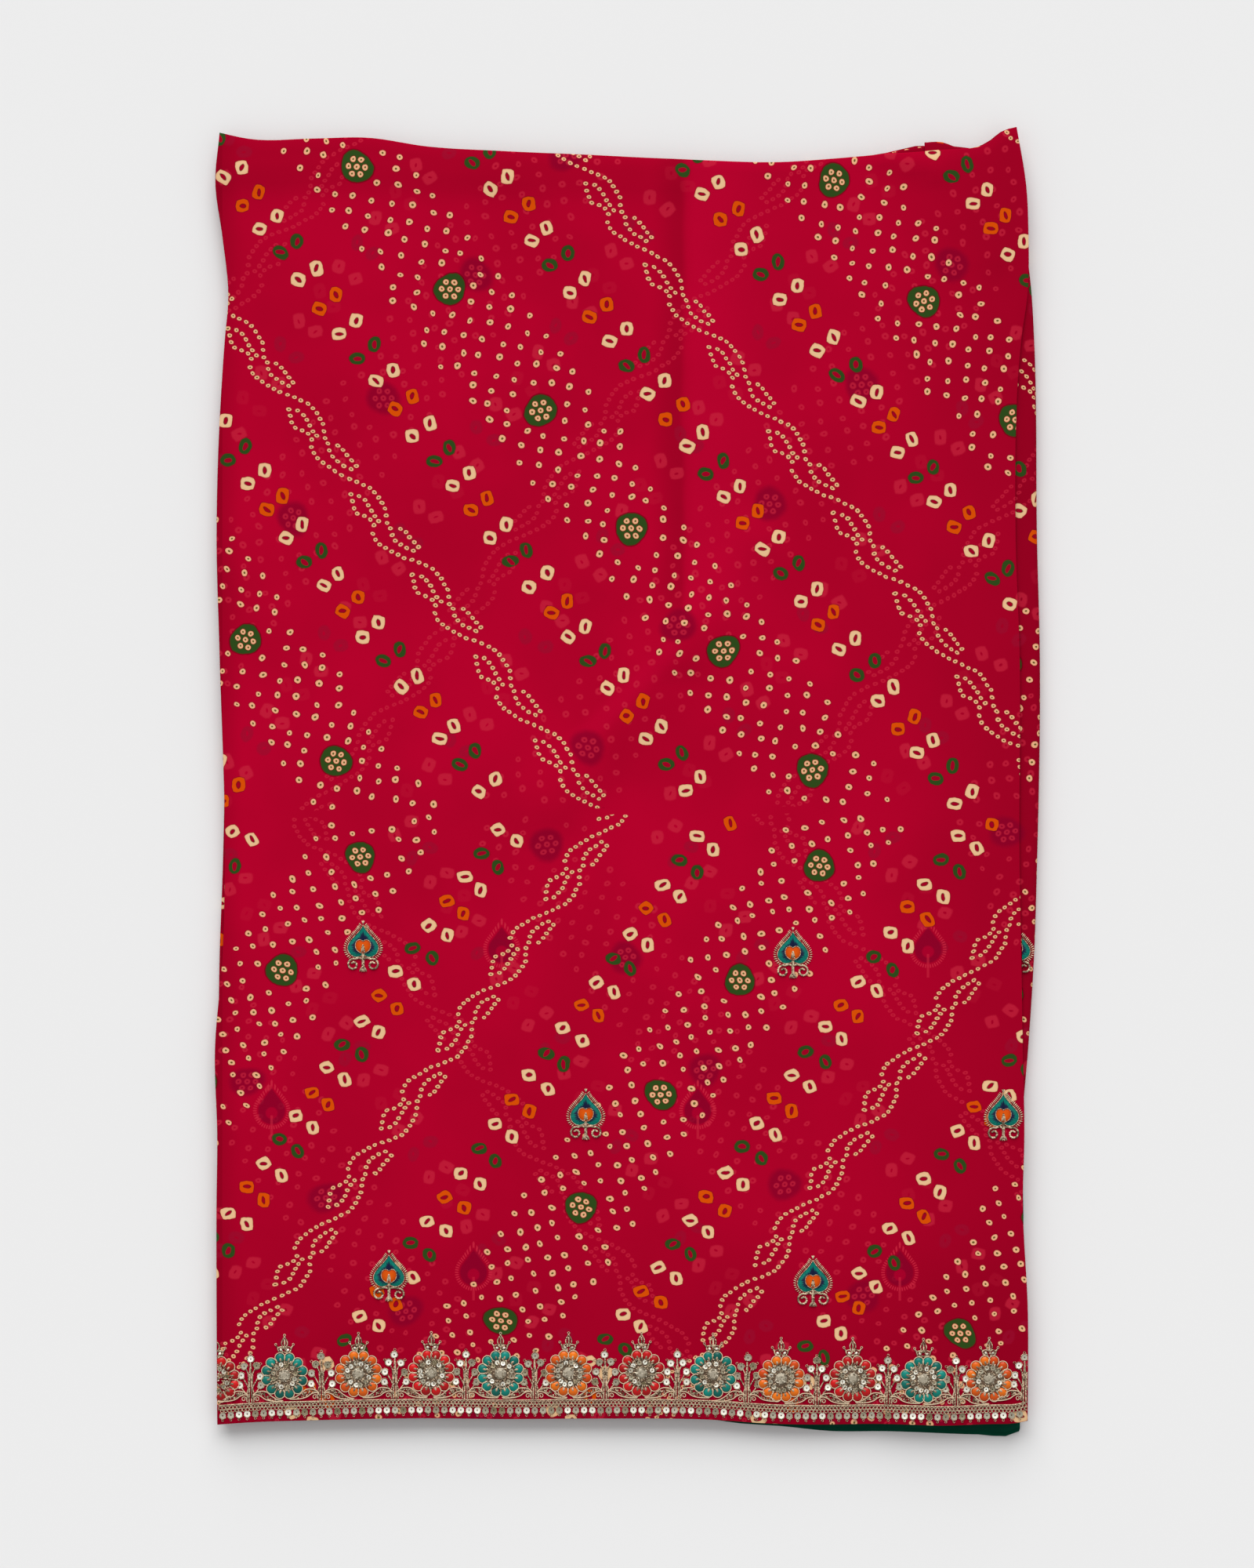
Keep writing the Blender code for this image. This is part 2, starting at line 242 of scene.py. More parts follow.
camera_data = bpy.data.cameras.new("camera")
camera_data.sensor_width = SENSOR
camera_data.lens = SENSOR * CAMERA_DISTANCE / PICTURE_HEIGHT
camera = bpy.data.objects.new("camera", camera_data)
camera.location = Vector((*PICTURE_CENTRE, FACE_HEIGHT + CAMERA_DISTANCE)) * MM
scene.collection.objects.link(camera)
scene.camera = camera
print("lens:", round(camera_data.lens, 1), "mm")

# %% [markdown]
# ## Shader sums in Python
# A print made of hundreds of sums is easier to read as expressions than as a web of nodes. A Wire holds
# one socket. Adding, multiplying or comparing wires adds the Math nodes that do it, and any other node
# comes from one method that takes its kind, its settings and its inputs.


# %% Wires and graphs
class Wire:
    """A number or colour that varies over a surface."""

    def __init__(self, graph, socket):
        self.graph = graph
        self.socket = socket

    def sum(self, operation, *values):
        return self.graph.node("Math", {"operation": operation}, dict(enumerate(values)))

    def __add__(self, other):
        return self.sum("ADD", self, other)

    def __sub__(self, other):
        return self.sum("SUBTRACT", self, other)

    def __rsub__(self, other):
        return self.sum("SUBTRACT", other, self)

    def __mul__(self, other):
        return self.sum("MULTIPLY", self, other)

    def __truediv__(self, other):
        return self.sum("DIVIDE", self, other)

    def __abs__(self):
        return self.sum("ABSOLUTE", self)

    __radd__ = __add__
    __rmul__ = __mul__

    def rounded(self):
        return self.sum("FLOOR", self + 0.5)

    def beat(self, period):
        """How far the value is from the nearest whole number of periods."""
        return self - (self / period).rounded() * period

    def over(self, limit):
        return self.sum("GREATER_THAN", self, limit)

    def under(self, limit):
        return self.sum("LESS_THAN", self, limit)

    def least(self, other):
        return self.sum("MINIMUM", self, other)

    def most(self, other):
        return self.sum("MAXIMUM", self, other)

    def modulo(self, period):
        return self.sum("FLOORED_MODULO", self, period)

    def sine(self):
        return self.sum("SINE", self)

    def cosine(self):
        return self.sum("COSINE", self)

    def angle(self, other):
        """The angle whose sine goes with this wire and whose cosine with the other."""
        return self.sum("ARCTAN2", self, other)

    def soft(self, low, high):
        """0 at low, 1 at high, and a smooth rise between, or a fall where low is the larger."""
        names = {"Value": self, "From Min": low, "From Max": high}
        return self.graph.node("MapRange", {"interpolation_type": "SMOOTHSTEP"}, names)


def reach(x, y):
    """The distance that two wires at right angles make."""
    square = x * x + y * y
    return square.sum("SQRT", square)


class Graph:
    """The nodes of one material."""

    def __init__(self, name):
        self.material = bpy.data.materials.new(name)
        self.material.use_nodes = True
        self.tree = self.material.node_tree
        self.tree.nodes.clear()

    def node(self, kind, settings=None, inputs=None, out=0):
        made = self.tree.nodes.new("ShaderNode" + kind)
        for name, value in (settings or {}).items():
            if name == "stops":
                self.set_stops(made.color_ramp, value)
            elif name == "curve":
                self.set_curve(made.mapping, value)
            else:
                setattr(made, name, value)
        for name, value in (inputs or {}).items():
            if isinstance(value, Wire):
                self.tree.links.new(value.socket, made.inputs[name])
            else:
                made.inputs[name].default_value = value
        return Wire(self, made.outputs[out])

    def set_stops(self, ramp, stops):
        while len(ramp.elements) < len(stops):
            ramp.elements.new(1)
        for element, (place, shade) in zip(ramp.elements, stops):
            element.position = place
            element.color = shade

    def set_curve(self, mapping, places):
        curve = mapping.curves[0]
        while len(curve.points) < len(places):
            curve.points.new(1, 1)
        for point, place in zip(curve.points, places):
            point.location = place
        mapping.update()

    def blend(self, share, first, second):
        """The first colour where share is 0 and the second where it is 1."""
        return self.node("Mix", {"data_type": "RGBA"}, {0: share, 6: first, 7: second}, out=2)

    def random(self, x, y, z=0.0):
        """Three numbers from 0 to 1 that differ from cell to cell."""
        cell = self.node("CombineXYZ", None, {0: x, 1: y, 2: z})
        noise = self.node("TexWhiteNoise", {"noise_dimensions": "3D"}, {"Vector": cell}, out="Color")
        return self.split(noise)

    def split(self, vector):
        made = self.node("SeparateXYZ", None, {0: vector}).socket.node
        return [Wire(self, socket) for socket in made.outputs]

    def cloud(self, where, scale, detail=2.0):
        """Soft noise from 0 to 1."""
        inputs = {"Vector": where, "Scale": scale, "Detail": detail}
        return self.node("TexNoise", None, inputs)

    def bump(self, height, distance, strength=1.0):
        return self.node("Bump", None, {"Height": height, "Distance": distance, "Strength": strength})

    def surface(self, **inputs):
        named = {name.replace("_", " "): value for name, value in inputs.items()}
        return self.node("BsdfPrincipled", None, named)

    def finish(self, shader):
        made = self.tree.nodes.new("ShaderNodeOutputMaterial")
        self.tree.links.new(shader.socket, made.inputs["Surface"])
        return self.material


def colour(red, green, blue):
    """A colour as a screen shows it, from 0 to 255, as the light that a shader works with."""
    shares = [c / 255 for c in (red, green, blue)]
    light = [((c + 0.055) / 1.055) ** 2.4 if c > 10 / 255 else c / 12.92 for c in shares]
    return (*light, 1.0)


print("a shader sum:", Wire.__name__)

# %% [markdown]
# ## Floor and light
# A pale floor and soft light, as in a studio. Broad light falls from past the top edge of the cloth, so
# a soft shadow lies below the hem, and the light of the room fills it by half.

# %% Floor and lamps
FLOOR_SIZE = 8.0
FLOOR_DROP = 0.0004
FLOOR_COLOUR = (0.86, 0.86, 0.86, 1.0)
ROOM_LIGHT = 0.47
KEY_FROM = (-0.05, 0.80, 0.47)
KEY_SPREAD = radians(56)
KEY_STRENGTH = 3.15


def build_floor():
    flat = bmesh.new()
    bmesh.ops.create_grid(flat, x_segments=1, y_segments=1, size=FLOOR_SIZE / 2)
    bmesh.ops.translate(flat, verts=flat.verts, vec=(0, 0, -FLOOR_DROP))
    mesh = bpy.data.meshes.new("floor")
    flat.to_mesh(mesh)
    flat.free()
    paper = Graph("pale paper")
    mesh.materials.append(paper.finish(paper.surface(Base_Color=FLOOR_COLOUR, Roughness=0.9)))
    made = bpy.data.objects.new("floor", mesh)
    scene.collection.objects.link(made)


def build_light():
    data = bpy.data.lights.new("key", "SUN")
    data.angle = KEY_SPREAD
    data.energy = KEY_STRENGTH
    made = bpy.data.objects.new("key", data)
    made.rotation_euler = (-Vector(KEY_FROM)).to_track_quat("-Z", "Y").to_euler()
    scene.collection.objects.link(made)
    world = bpy.data.worlds.new("studio")
    world.use_nodes = True
    sky = world.node_tree.nodes["Background"].inputs
    sky["Color"].default_value = (1.0, 1.0, 1.0, 1.0)
    sky["Strength"].default_value = ROOM_LIGHT
    scene.world = world


build_floor()
build_light()
print("room light:", ROOM_LIGHT)

# %% [markdown]
# ## The cloth's folds
# The saree is one sheet. Its section runs back and forth through the stack, and the same section at each
# height makes the rows of one long grid. A real cloth could be dropped by simulation, but the folds here
# are known to the millimetre, so each point of the grid is put where its pass lies.
# Soft creases are placed one by one: a ridge is a rise across a line that fades at both ends.

# %% Creases
Crease = namedtuple("Crease", "x0 y0 x1 y1 width rise")
CREASES = (
    Crease(46, 545, 48, 110, 26, 2.4),
    Crease(40, 130, -70, -30, 30, 1.2),
    Crease(110, 205, -60, -20, 24, 2.0),
    Crease(-345, 520, 40, 512, 15, 1.7),
    Crease(-330, 250, -180, 60, 40, -0.9),
    Crease(190, 330, 330, 260, 45, 1.0),
    Crease(-250, -120, 20, -300, 60, 0.9),
    Crease(150, -180, 320, -330, 50, 0.8),
    Crease(-330, -380, 300, -395, 55, 0.7),
    Crease(215, 535, 270, 520, 9, 2.2),
    Crease(318, 552, 312, 440, 8, 1.4),
)
RIPPLES = ((95.0, 0.30, 0.4), (61.0, 0.16, 2.1), (37.0, 0.07, 4.4))


def crease_height(x, y):
    """How far the creases lift the front layer, in millimetres."""
    lift = np.zeros(np.broadcast(x, y).shape)
    for fold in CREASES:
        length = hypot(fold.x1 - fold.x0, fold.y1 - fold.y0)
        along_x, along_y = (fold.x1 - fold.x0) / length, (fold.y1 - fold.y0) / length
        along = (x - fold.x0) * along_x + (y - fold.y0) * along_y
        off = (x - fold.x0) * along_y - (y - fold.y0) * along_x
        fade = ease(along / fold.width + 1) * ease((length - along) / fold.width + 1)
        lift = lift + fold.rise * np.exp(-((off / fold.width) ** 2)) * fade
    for period, rise, phase in RIPPLES:
        lift = lift + rise * np.sin(x / period * 2 + phase) * np.cos(y / period * 1.3 + 2 * phase)
    return lift


def face_height(x, y):
    """The height of the front layer at a place on the face."""
    return pass_height(FRONT, x) + crease_height(x, y)


def strip_height(x, y):
    """The height of the layer that shows beside the right fold of the front layer."""
    layer = PASSES[6]
    return level_height(layer.level_to) + CLOTH / 2 + crease_height(x, y) * layer.crease


print("highest crease:", max(fold.rise for fold in CREASES), "mm")

# %% The section of the stack, with the place along the cloth's length
HEM_ROLL = 0.45
HEM_ROLL_ANGLES = (35, 75, 115, 155)


def round_turn(edge, heading, here, there):
    """Half an ellipse from one pass to the next: places across, heights and the share of the turn."""
    share = np.linspace(0, 1, TURN_STEPS + 1)
    angle = pi * share
    radius = abs(here - there) / 2
    x = edge - heading * radius * (1 - np.sin(angle))
    return x, mix(there, here, (1 + np.cos(angle)) / 2), share


def saree_section(height):
    """Rows of x, z, insets and crease share along the section at one height."""
    columns = []
    radii = [abs(a.level_to - b.level_from) * PITCH / 2 for a, b in zip(PASSES, PASSES[1:])]
    radii = [0, *radii, 0]
    for i, layer in enumerate(PASSES):
        heading = 1 if i % 2 == 0 else -1
        first, second = TURNS[i], TURNS[i + 1]
        edge = side_line[second.line](height) - heading * second.inset
        start = side_line[first.line](height) + heading * (first.inset + radii[i])
        stop = edge - heading * radii[i + 1]
        share = np.linspace(0, 1, layer.columns + 1)
        x = mix(start, stop, share)
        kept = [mix(getattr(first, name), getattr(second, name), share) for name in INSETS]
        columns.append(np.stack([x, pass_height(layer, x), *kept, np.full_like(x, layer.crease)], 1))
        if i + 1 < len(PASSES):
            after = PASSES[i + 1]
            here, there = level_height(layer.level_to), level_height(after.level_from)
            x, z, share = (part[1:-1] for part in round_turn(edge, heading, here, there))
            kept = [np.full_like(x, getattr(second, name)) for name in INSETS]
            columns.append(np.stack([x, z, *kept, mix(layer.crease, after.crease, share)], 1))
    return np.concatenate(columns)


def front_start():
    """The index of the front pass's first column in the section."""
    return sum(layer.columns + 1 + TURN_STEPS - 1 for layer in PASSES[: PASSES.index(FRONT)])


def saree_grid():
    """The points of the whole sheet, their places in the cloth and those of the layer beneath."""
    points, places, beneath = [], [], []
    first = front_start()
    shares = [(0.0, radians(angle), -1) for angle in reversed(HEM_ROLL_ANGLES)]
    shares += [(share, 0.0, 0) for share in np.linspace(0, 1, ROWS)]
    shares += [(1.0, radians(angle), 1) for angle in HEM_ROLL_ANGLES]
    for share, roll, side in shares:
        x, z, top_in, hem_in, back, crease = saree_section(mix(LOWEST_ROW, HIGHEST_ROW, share)).T
        top = mix(end_line["front_top"](x), end_line["back_top"](x), back) - top_in
        hem = end_line["hem"](x) + hem_in
        y = mix(hem, top, share)
        along = np.concatenate([[0], np.cumsum(np.hypot(np.diff(x), np.diff(z)))])
        front = slice(first, first + FRONT.columns + 1)
        along = along - np.interp(0, x[front], along[front])
        z = z + crease_height(x, y) * crease - HEM_ROLL * (1 - cos(roll))
        points.append(np.stack([x, y + side * HEM_ROLL * sin(roll), z], 1))
        places.append(np.stack([along, y + side * HEM_ROLL * roll], 1))
        beneath.append(np.stack([2 * side_line["front_left"](0) - x, y], 1))
    return np.array(points), {"cloth": np.array(places), "beneath": np.array(beneath)}


def add_object(name, mesh, finishes, smooth=True):
    for finish in finishes:
        mesh.materials.append(finish)
    if smooth:
        mesh.shade_smooth()
    made = bpy.data.objects.new(name, mesh)
    scene.collection.objects.link(made)
    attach(made, "root")
    return made


def sheet_mesh(name, points, maps):
    """A grid bent to the points, with places in the cloth as its UV maps."""
    rows, columns = points.shape[:2]
    flat = bmesh.new()
    bmesh.ops.create_grid(flat, x_segments=columns - 1, y_segments=rows - 1, size=1)
    mesh = bpy.data.meshes.new(name)
    flat.to_mesh(mesh)
    flat.free()
    mesh.vertices.foreach_set("co", (points.reshape(-1, 3) * MM).ravel())
    corners = np.empty(len(mesh.loops), int)
    mesh.loops.foreach_get("vertex_index", corners)
    for key, places in maps.items():
        layer = mesh.uv_layers.new(name=key)
        layer.data.foreach_set("uv", (places.reshape(-1, 2)[corners] * MM).ravel())
    mesh.update()
    return mesh


saree_points, saree_maps = saree_grid()
saree_mesh = sheet_mesh("saree", saree_points, saree_maps)
saree_length = float(np.ptp(saree_maps["cloth"][ROWS // 2, :, 0]))
print("saree:", len(saree_mesh.polygons), "faces,", round(saree_length), "mm long")

# %% [markdown]
# ## The tied print
# Lines of green circles, fields of small dots, pairs of rings and a chain of leaves slant down the
# cloth and turn back at a line near its middle, as a chevron. Each motif is a rule on the place in the
# cloth: a slanted pair of axes, a whole number for the repeat, and the distance to the motif's middle.
# A hand ties each dot, so random numbers for each repeat shift, stretch and turn it.

# %% The slanted axes
TURN_LINE = -24.7
SLANT = 0.755
SLANT_LENGTH = hypot(1, SLANT)
BAND_PERIOD = 317.5
BAND_START = 147.0
CIRCLE_STEP = 128.9
CIRCLE_START = 68.4
LOWER_STRETCH = 1.065
LOWER_SHIFT = 16.4
LOWER_SKEW = 0.097
BAND_PHASE = 239.7
ROW_TILT = 13.4
OUTSIDE = 9.0
CORNERS = 1.12
SWAY, SWAY_SCALE = 9, 11.0
WOBBLE, WOBBLE_SCALE = 1.5, 190.0


class Print:
    """The cloth's own axes: along the slant, and across it from the middle of a band."""

    def __init__(self, graph, uv_map):
        self.graph = graph
        where = graph.node("UVMap", {"uv_map": uv_map})
        u, v, _ = graph.split(where)
        unit = 1 / MM
        sway, wobble = self.drift(where, SWAY_SCALE), self.drift(where, WOBBLE_SCALE)
        self.where = where
        self.u = u * unit + (sway[0] - 0.5) * SWAY + (wobble[0] - 0.5) * WOBBLE
        self.v = v * unit + (sway[1] - 0.5) * SWAY + (wobble[1] - 0.5) * WOBBLE
        self.lower = (v * unit).under(TURN_LINE)
        self.flip = 1 - self.lower * 2
        full = abs(self.v - TURN_LINE) * (1 + self.lower * (LOWER_STRETCH - 1))
        self.w = full - self.lower * LOWER_SHIFT
        self.x = self.u - full * self.lower * LOWER_SKEW

    def drift(self, where, scale):
        """Three soft noises from 0 to 1."""
        inputs = {"Vector": where, "Scale": scale, "Detail": 1.0}
        return self.graph.split(self.graph.node("TexNoise", None, inputs, out="Color"))

    def slanted(self, x, w):
        """The place along the slant, upwards, and the place across it."""
        return (w - x * SLANT) / SLANT_LENGTH, (x + w * SLANT) / SLANT_LENGTH

    def in_band(self, along, across):
        """The place in the nearest band, measured from its line of circles, and the band's number."""
        band = ((across - BAND_START) / BAND_PERIOD).rounded()
        phase = self.flip * ROW_TILT + BAND_PHASE
        return along + CIRCLE_START + band * phase, across - BAND_START - band * BAND_PERIOD, band

    def above_turn(self, along, across, margin):
        """1 where a motif's middle is clear of the line at which the print turns back."""
        w = (along + across * SLANT) / SLANT_LENGTH
        return (w + self.lower * LOWER_SHIFT).over(margin)

    def blob(self, x, y, angle, stretch, square=0.0):
        """The distance to the middle of a spot, which is stretched at an angle and may have corners."""
        turn = angle * pi
        co, si = turn.cosine(), turn.sine()
        x, y = (x * co + y * si) * stretch, (y * co - x * si) / stretch
        if not square:
            return reach(x, y)
        return reach(x, y) * (1 - square) + abs(x).most(abs(y)) * square * CORNERS


print("a band every", round(BAND_PERIOD * SLANT_LENGTH), "mm across the cloth")

# %% The small dots and the green circles
DOT_PITCH = (16.4, 13.8)
DOT_TILT = radians(11)
DOT_RADIUS = 2.6
DOT_SHIFT = 4.6
DOT_MARGIN = 5.0
FIELD_HALF = 45.0
CIRCLE_RADIUS = 13.4
CIRCLE_CLEARANCE = 20.0
CIRCLE_MARGIN = 12.0
SEVEN_RADIUS = 2.45
SEVEN_RING = 7.1


def small_dots(p):
    """The distance to the nearest small dot in units of its radius, far outside the field."""
    g = p.graph
    co, si = cos(DOT_TILT), sin(DOT_TILT)
    q, r = p.x * co - p.w * si, p.x * si + p.w * co
    column, row = (q / DOT_PITCH[0]).rounded(), (r / DOT_PITCH[1]).rounded()
    a, b, c = g.random(column, row, p.lower)
    middle_q = column * DOT_PITCH[0] + (a - 0.5) * DOT_SHIFT
    middle_r = row * DOT_PITCH[1] + (b - 0.5) * DOT_SHIFT
    x, w = middle_q * co + middle_r * si, middle_r * co - middle_q * si
    slant_along, slant_across = p.slanted(x, w)
    along, across, _ = p.in_band(slant_along, slant_across)
    seen = abs(across).under(FIELD_HALF)
    seen = seen * reach(along.beat(CIRCLE_STEP), across).over(CIRCLE_CLEARANCE)
    seen = seen * p.above_turn(slant_along, slant_across, DOT_MARGIN)
    spot = p.blob(q - middle_q, r - middle_r, c, a * 0.22 + 0.93) / (b * 0.3 + 0.85) / DOT_RADIUS
    return spot + (1 - seen) * OUTSIDE


def green_circles(p, along, across, band, clear):
    """The distances to the uneven circle and to the nearest of its seven dots, in units of their radii."""
    g = p.graph
    local = along.beat(CIRCLE_STEP)
    a, b, c = g.random((along / CIRCLE_STEP).rounded(), band, p.lower + 5.0)
    far = reach(local, across)
    sector = tau / 6
    angle = local.angle(across)
    oval, corner = (angle * 2 + a * tau).sine(), (angle * 3 + b * tau).sine()
    turned = (angle + 0.35 + c * 0.5).beat(sector)
    x = far * turned.cosine() - SEVEN_RING
    y = far * turned.sine()
    seven = far.least(reach(x, y)) / SEVEN_RADIUS
    hidden = (1 - clear) * OUTSIDE
    return far / (oval * 0.06 + corner * 0.05 + 1) / CIRCLE_RADIUS + hidden, seven + hidden


print("dots to a circle: 7")

# %% The pairs of rings
RING_COLUMN = 89.0
RING_STEP = 27.2
RING_PARTNER = 8.9
RING_RADIUS = 6.05
RING_LEAN = 0.585
RING_PHASES = (-1.1, 69.7)
LOWER_PHASES = (-15.0, 67.2)
RING_DRIFT = 6.0
RING_SHIFT = (3.0, 1.6)
RING_MARGIN = 7.0
GREEN_FROM = 2.5


def rings(p, along, across, band, slant_along, slant_across):
    """The distance to the nearest ring in units of its radius, its slit, and its number in the round."""
    g = p.graph
    right = across.over(0)
    left_phase = p.lower * (LOWER_PHASES[0] - RING_PHASES[0]) + RING_PHASES[0]
    right_phase = p.lower * (LOWER_PHASES[1] - RING_PHASES[1]) + RING_PHASES[1]
    drift = band * RING_DRIFT * (1 - right * (1 - p.lower))
    place = along - left_phase - right * (right_phase - left_phase) + drift
    number = (place / RING_STEP).rounded()
    column = abs(across) - RING_COLUMN
    outer = column.over(0)
    a, b, c = g.random(number, outer + right * 3, band)
    x = place.beat(RING_STEP) + (a - 0.5) * RING_SHIFT[0]
    y = abs(column) - RING_PARTNER + (b - 0.5) * RING_SHIFT[1]
    in_round = number.modulo(4.0)
    corners = in_round.under(GREEN_FROM) * 0.4 + 0.05
    stretch = b * 0.09 + 1.03 + in_round.over(GREEN_FROM) * 0.06
    ring = p.blob(x, y, c * 0.24 + RING_LEAN, stretch, corners) / RING_RADIUS
    middle = (right * 2 - 1) * ((outer * 2 - 1) * RING_PARTNER + RING_COLUMN)
    clear = p.above_turn(slant_along - x, slant_across - across + middle, RING_MARGIN)
    ring = ring + (1 - clear) * OUTSIDE
    slit = p.blob(x + (c - 0.5) * 1.2, y, a * 0.34 + RING_LEAN - 0.06, b * 0.3 + 1.25)
    return ring, slit, in_round


print("rings in a colour round: 4")

# %% [markdown]
# The chain is a row of pointed leaves between three lines of dots. Three curves chart one repeat of it:
# how far each line runs from the chain's own axis. Dots sit on each line at an even step.

# %% The chain of leaves
CHAIN_PERIOD = 88.0
CHAIN_LINE = 146.0
CHAIN_START = 449.8
CHAIN_SHIFT = 2.9
CHAIN_STEP = 5.5
CHAIN_DOT = 1.85
CHAIN_MARGIN = 3.0
CHART_LOW = -10.0
CHART_SPAN = 40.0
Chart = namedtuple("Chart", "places gaps")
LOW_LINE = Chart(
    (
        (0, 0), (5.6, -2.6), (11.5, -4.8), (17.6, -5.3), (21.8, -2.1), (26.2, 0.1), (32.1, 0.5),
        (35.3, -2.7), (40.7, -5.3), (47.3, -5.7), (53.2, -4.3), (58.8, -2.3), (63.9, -0.2),
        (69.4, 2.4), (74.7, 5.1), (80, 8.9), (88, 12.3),
    ),
    (),
)
MIDDLE_LINE = Chart(
    (
        (0, 0), (4.4, 4.3), (10, 6.4), (15.8, 6.4), (22.1, 5.7), (27.9, 5.1), (33.8, 5.7), (46, 10),
        (49.4, 7.3), (55.1, 6.4), (61.7, 8.1), (66.7, 10.2), (71.4, 12.5), (75.1, 16.1), (88, 16.1),
    ),
    ((36, 47), (76, 89)),
)
TOP_LINE = Chart(
    (
        (0, 12.9), (4, 15.2), (10, 16.8), (17, 17), (23.7, 16.3), (31, 15), (35, 10.8), (41, 9.9),
        (45.4, 10.1), (47.1, 14.3), (53.4, 16.8), (59.4, 17), (65.1, 17.4), (70.7, 17.8),
        (75.1, 16.1), (88, 16.1),
    ),
    ((76, 89),),
)


def chain(p, slant_along, slant_across):
    """The distance to the nearest dot of the chain in units of its radius."""
    g = p.graph
    start = BAND_START + CHAIN_LINE
    band = ((slant_across - start - 4) / BAND_PERIOD).rounded()
    across = slant_across - start - band * BAND_PERIOD
    along = CHAIN_START + band * CHAIN_SHIFT - slant_along
    number = (along / CHAIN_STEP).rounded()
    x = along - number * CHAIN_STEP
    middle = number * CHAIN_STEP
    place = middle / CHAIN_PERIOD
    part = place.modulo(1.0)
    nearest = None
    for line, chart in enumerate((LOW_LINE, MIDDLE_LINE, TOP_LINE)):
        curve = [(s / CHAIN_PERIOD, (t - CHART_LOW) / CHART_SPAN) for s, t in chart.places]
        height = g.node("FloatCurve", {"curve": curve}, {"Value": part}) * CHART_SPAN + CHART_LOW
        a, b, c = g.random(number, line, band)
        spot = p.blob(x + (a - 0.5) * 0.5, across - height + (b - 0.5) * 0.7, 0.12 + c * 0.2, 0.9)
        spot = spot / CHAIN_DOT
        for low, high in chart.gaps:
            spot = spot + part.over(low / CHAIN_PERIOD) * part.under(high / CHAIN_PERIOD) * OUTSIDE
        nearest = spot if nearest is None else nearest.least(spot)
    return nearest + (1 - p.above_turn(slant_along, slant_across, CHAIN_MARGIN)) * OUTSIDE


print("chain repeat:", CHAIN_PERIOD, "mm")

# %% [markdown]
# ## The georgette
# The print's distances become colours: a pale spot has an olive pit, a reddish rim and a dark halo where
# the dye stopped at the thread. The cloth is sheer, so the print of the layer beneath shows through it.
# Real transparency through eight layers costs much time and sorts badly in games and browsers, so the
# layer beneath has a UV map of its own and its print is laid faintly into the colour.
# A crepe weave is too fine to see from above and serves close views, as bump.
# Painted shade darkens the dye at the sides, the bottom, the top edge and the border,
# and the long crease has painted shade on its left and painted light on its right.

# %% The dyed georgette
RED = colour(182, 0, 43)
DEEP_RED = colour(158, 0, 34)
SHADED_RED = colour(138, 0, 28)
LIT_RED = colour(196, 2, 52)
FRONT_END = 0.345
CREAM = colour(230, 191, 144)
PALE = colour(234, 164, 124)
OLIVE = colour(110, 85, 34)
HALO = colour(104, 0, 18)
ORANGE = colour(214, 78, 4)
LEAF_GREEN = colour(45, 73, 27)
SEEN_THROUGH = colour(200, 36, 62)
DARK_THROUGH = colour(132, 0, 38)
MATT = {"Roughness": 0.85, "Specular_IOR_Level": 0.02}
CREPE_SCALE = 1500.0
CREASE_END = (0.046, 0.119)
CREASE_WAVE = 0.014
RIDGE_WAY = (-0.7265, -0.6872)


class Marks:
    """Every mark of the print as a distance in units of its size."""

    def __init__(self, g, uv_map):
        p = Print(g, uv_map)
        self.where = p.where
        slant_along, slant_across = p.slanted(p.x, p.w)
        along, across, band = p.in_band(slant_along, slant_across)
        middle = slant_along - along.beat(CIRCLE_STEP)
        clear = p.above_turn(middle, slant_across - across, CIRCLE_MARGIN)
        self.circle, seven = green_circles(p, along, across, band, clear)
        self.ring, self.slit, number = rings(p, along, across, band, slant_along, slant_across)
        self.spot = small_dots(p).least(seven).least(chain(p, slant_along, slant_across))
        self.odd = number.modulo(2.0)
        self.green = number.over(GREEN_FROM)


GHOST_ROW = 137.5
GHOST_PERIOD = 363.0
GHOST_START = (-107.0, -142.0)
GHOST_SHIFT = 190.0
GHOST_DRIFT = 6.0
GHOST_ROWS = 2.5
GHOST_EYE = 11.5
GHOST_HEART = 5.0
GHOST_BARBS = (12.8, 15.8)
GHOST_STEM = (-4.0, -24.0)
GHOST_SIDE = (0.8, 0.6)


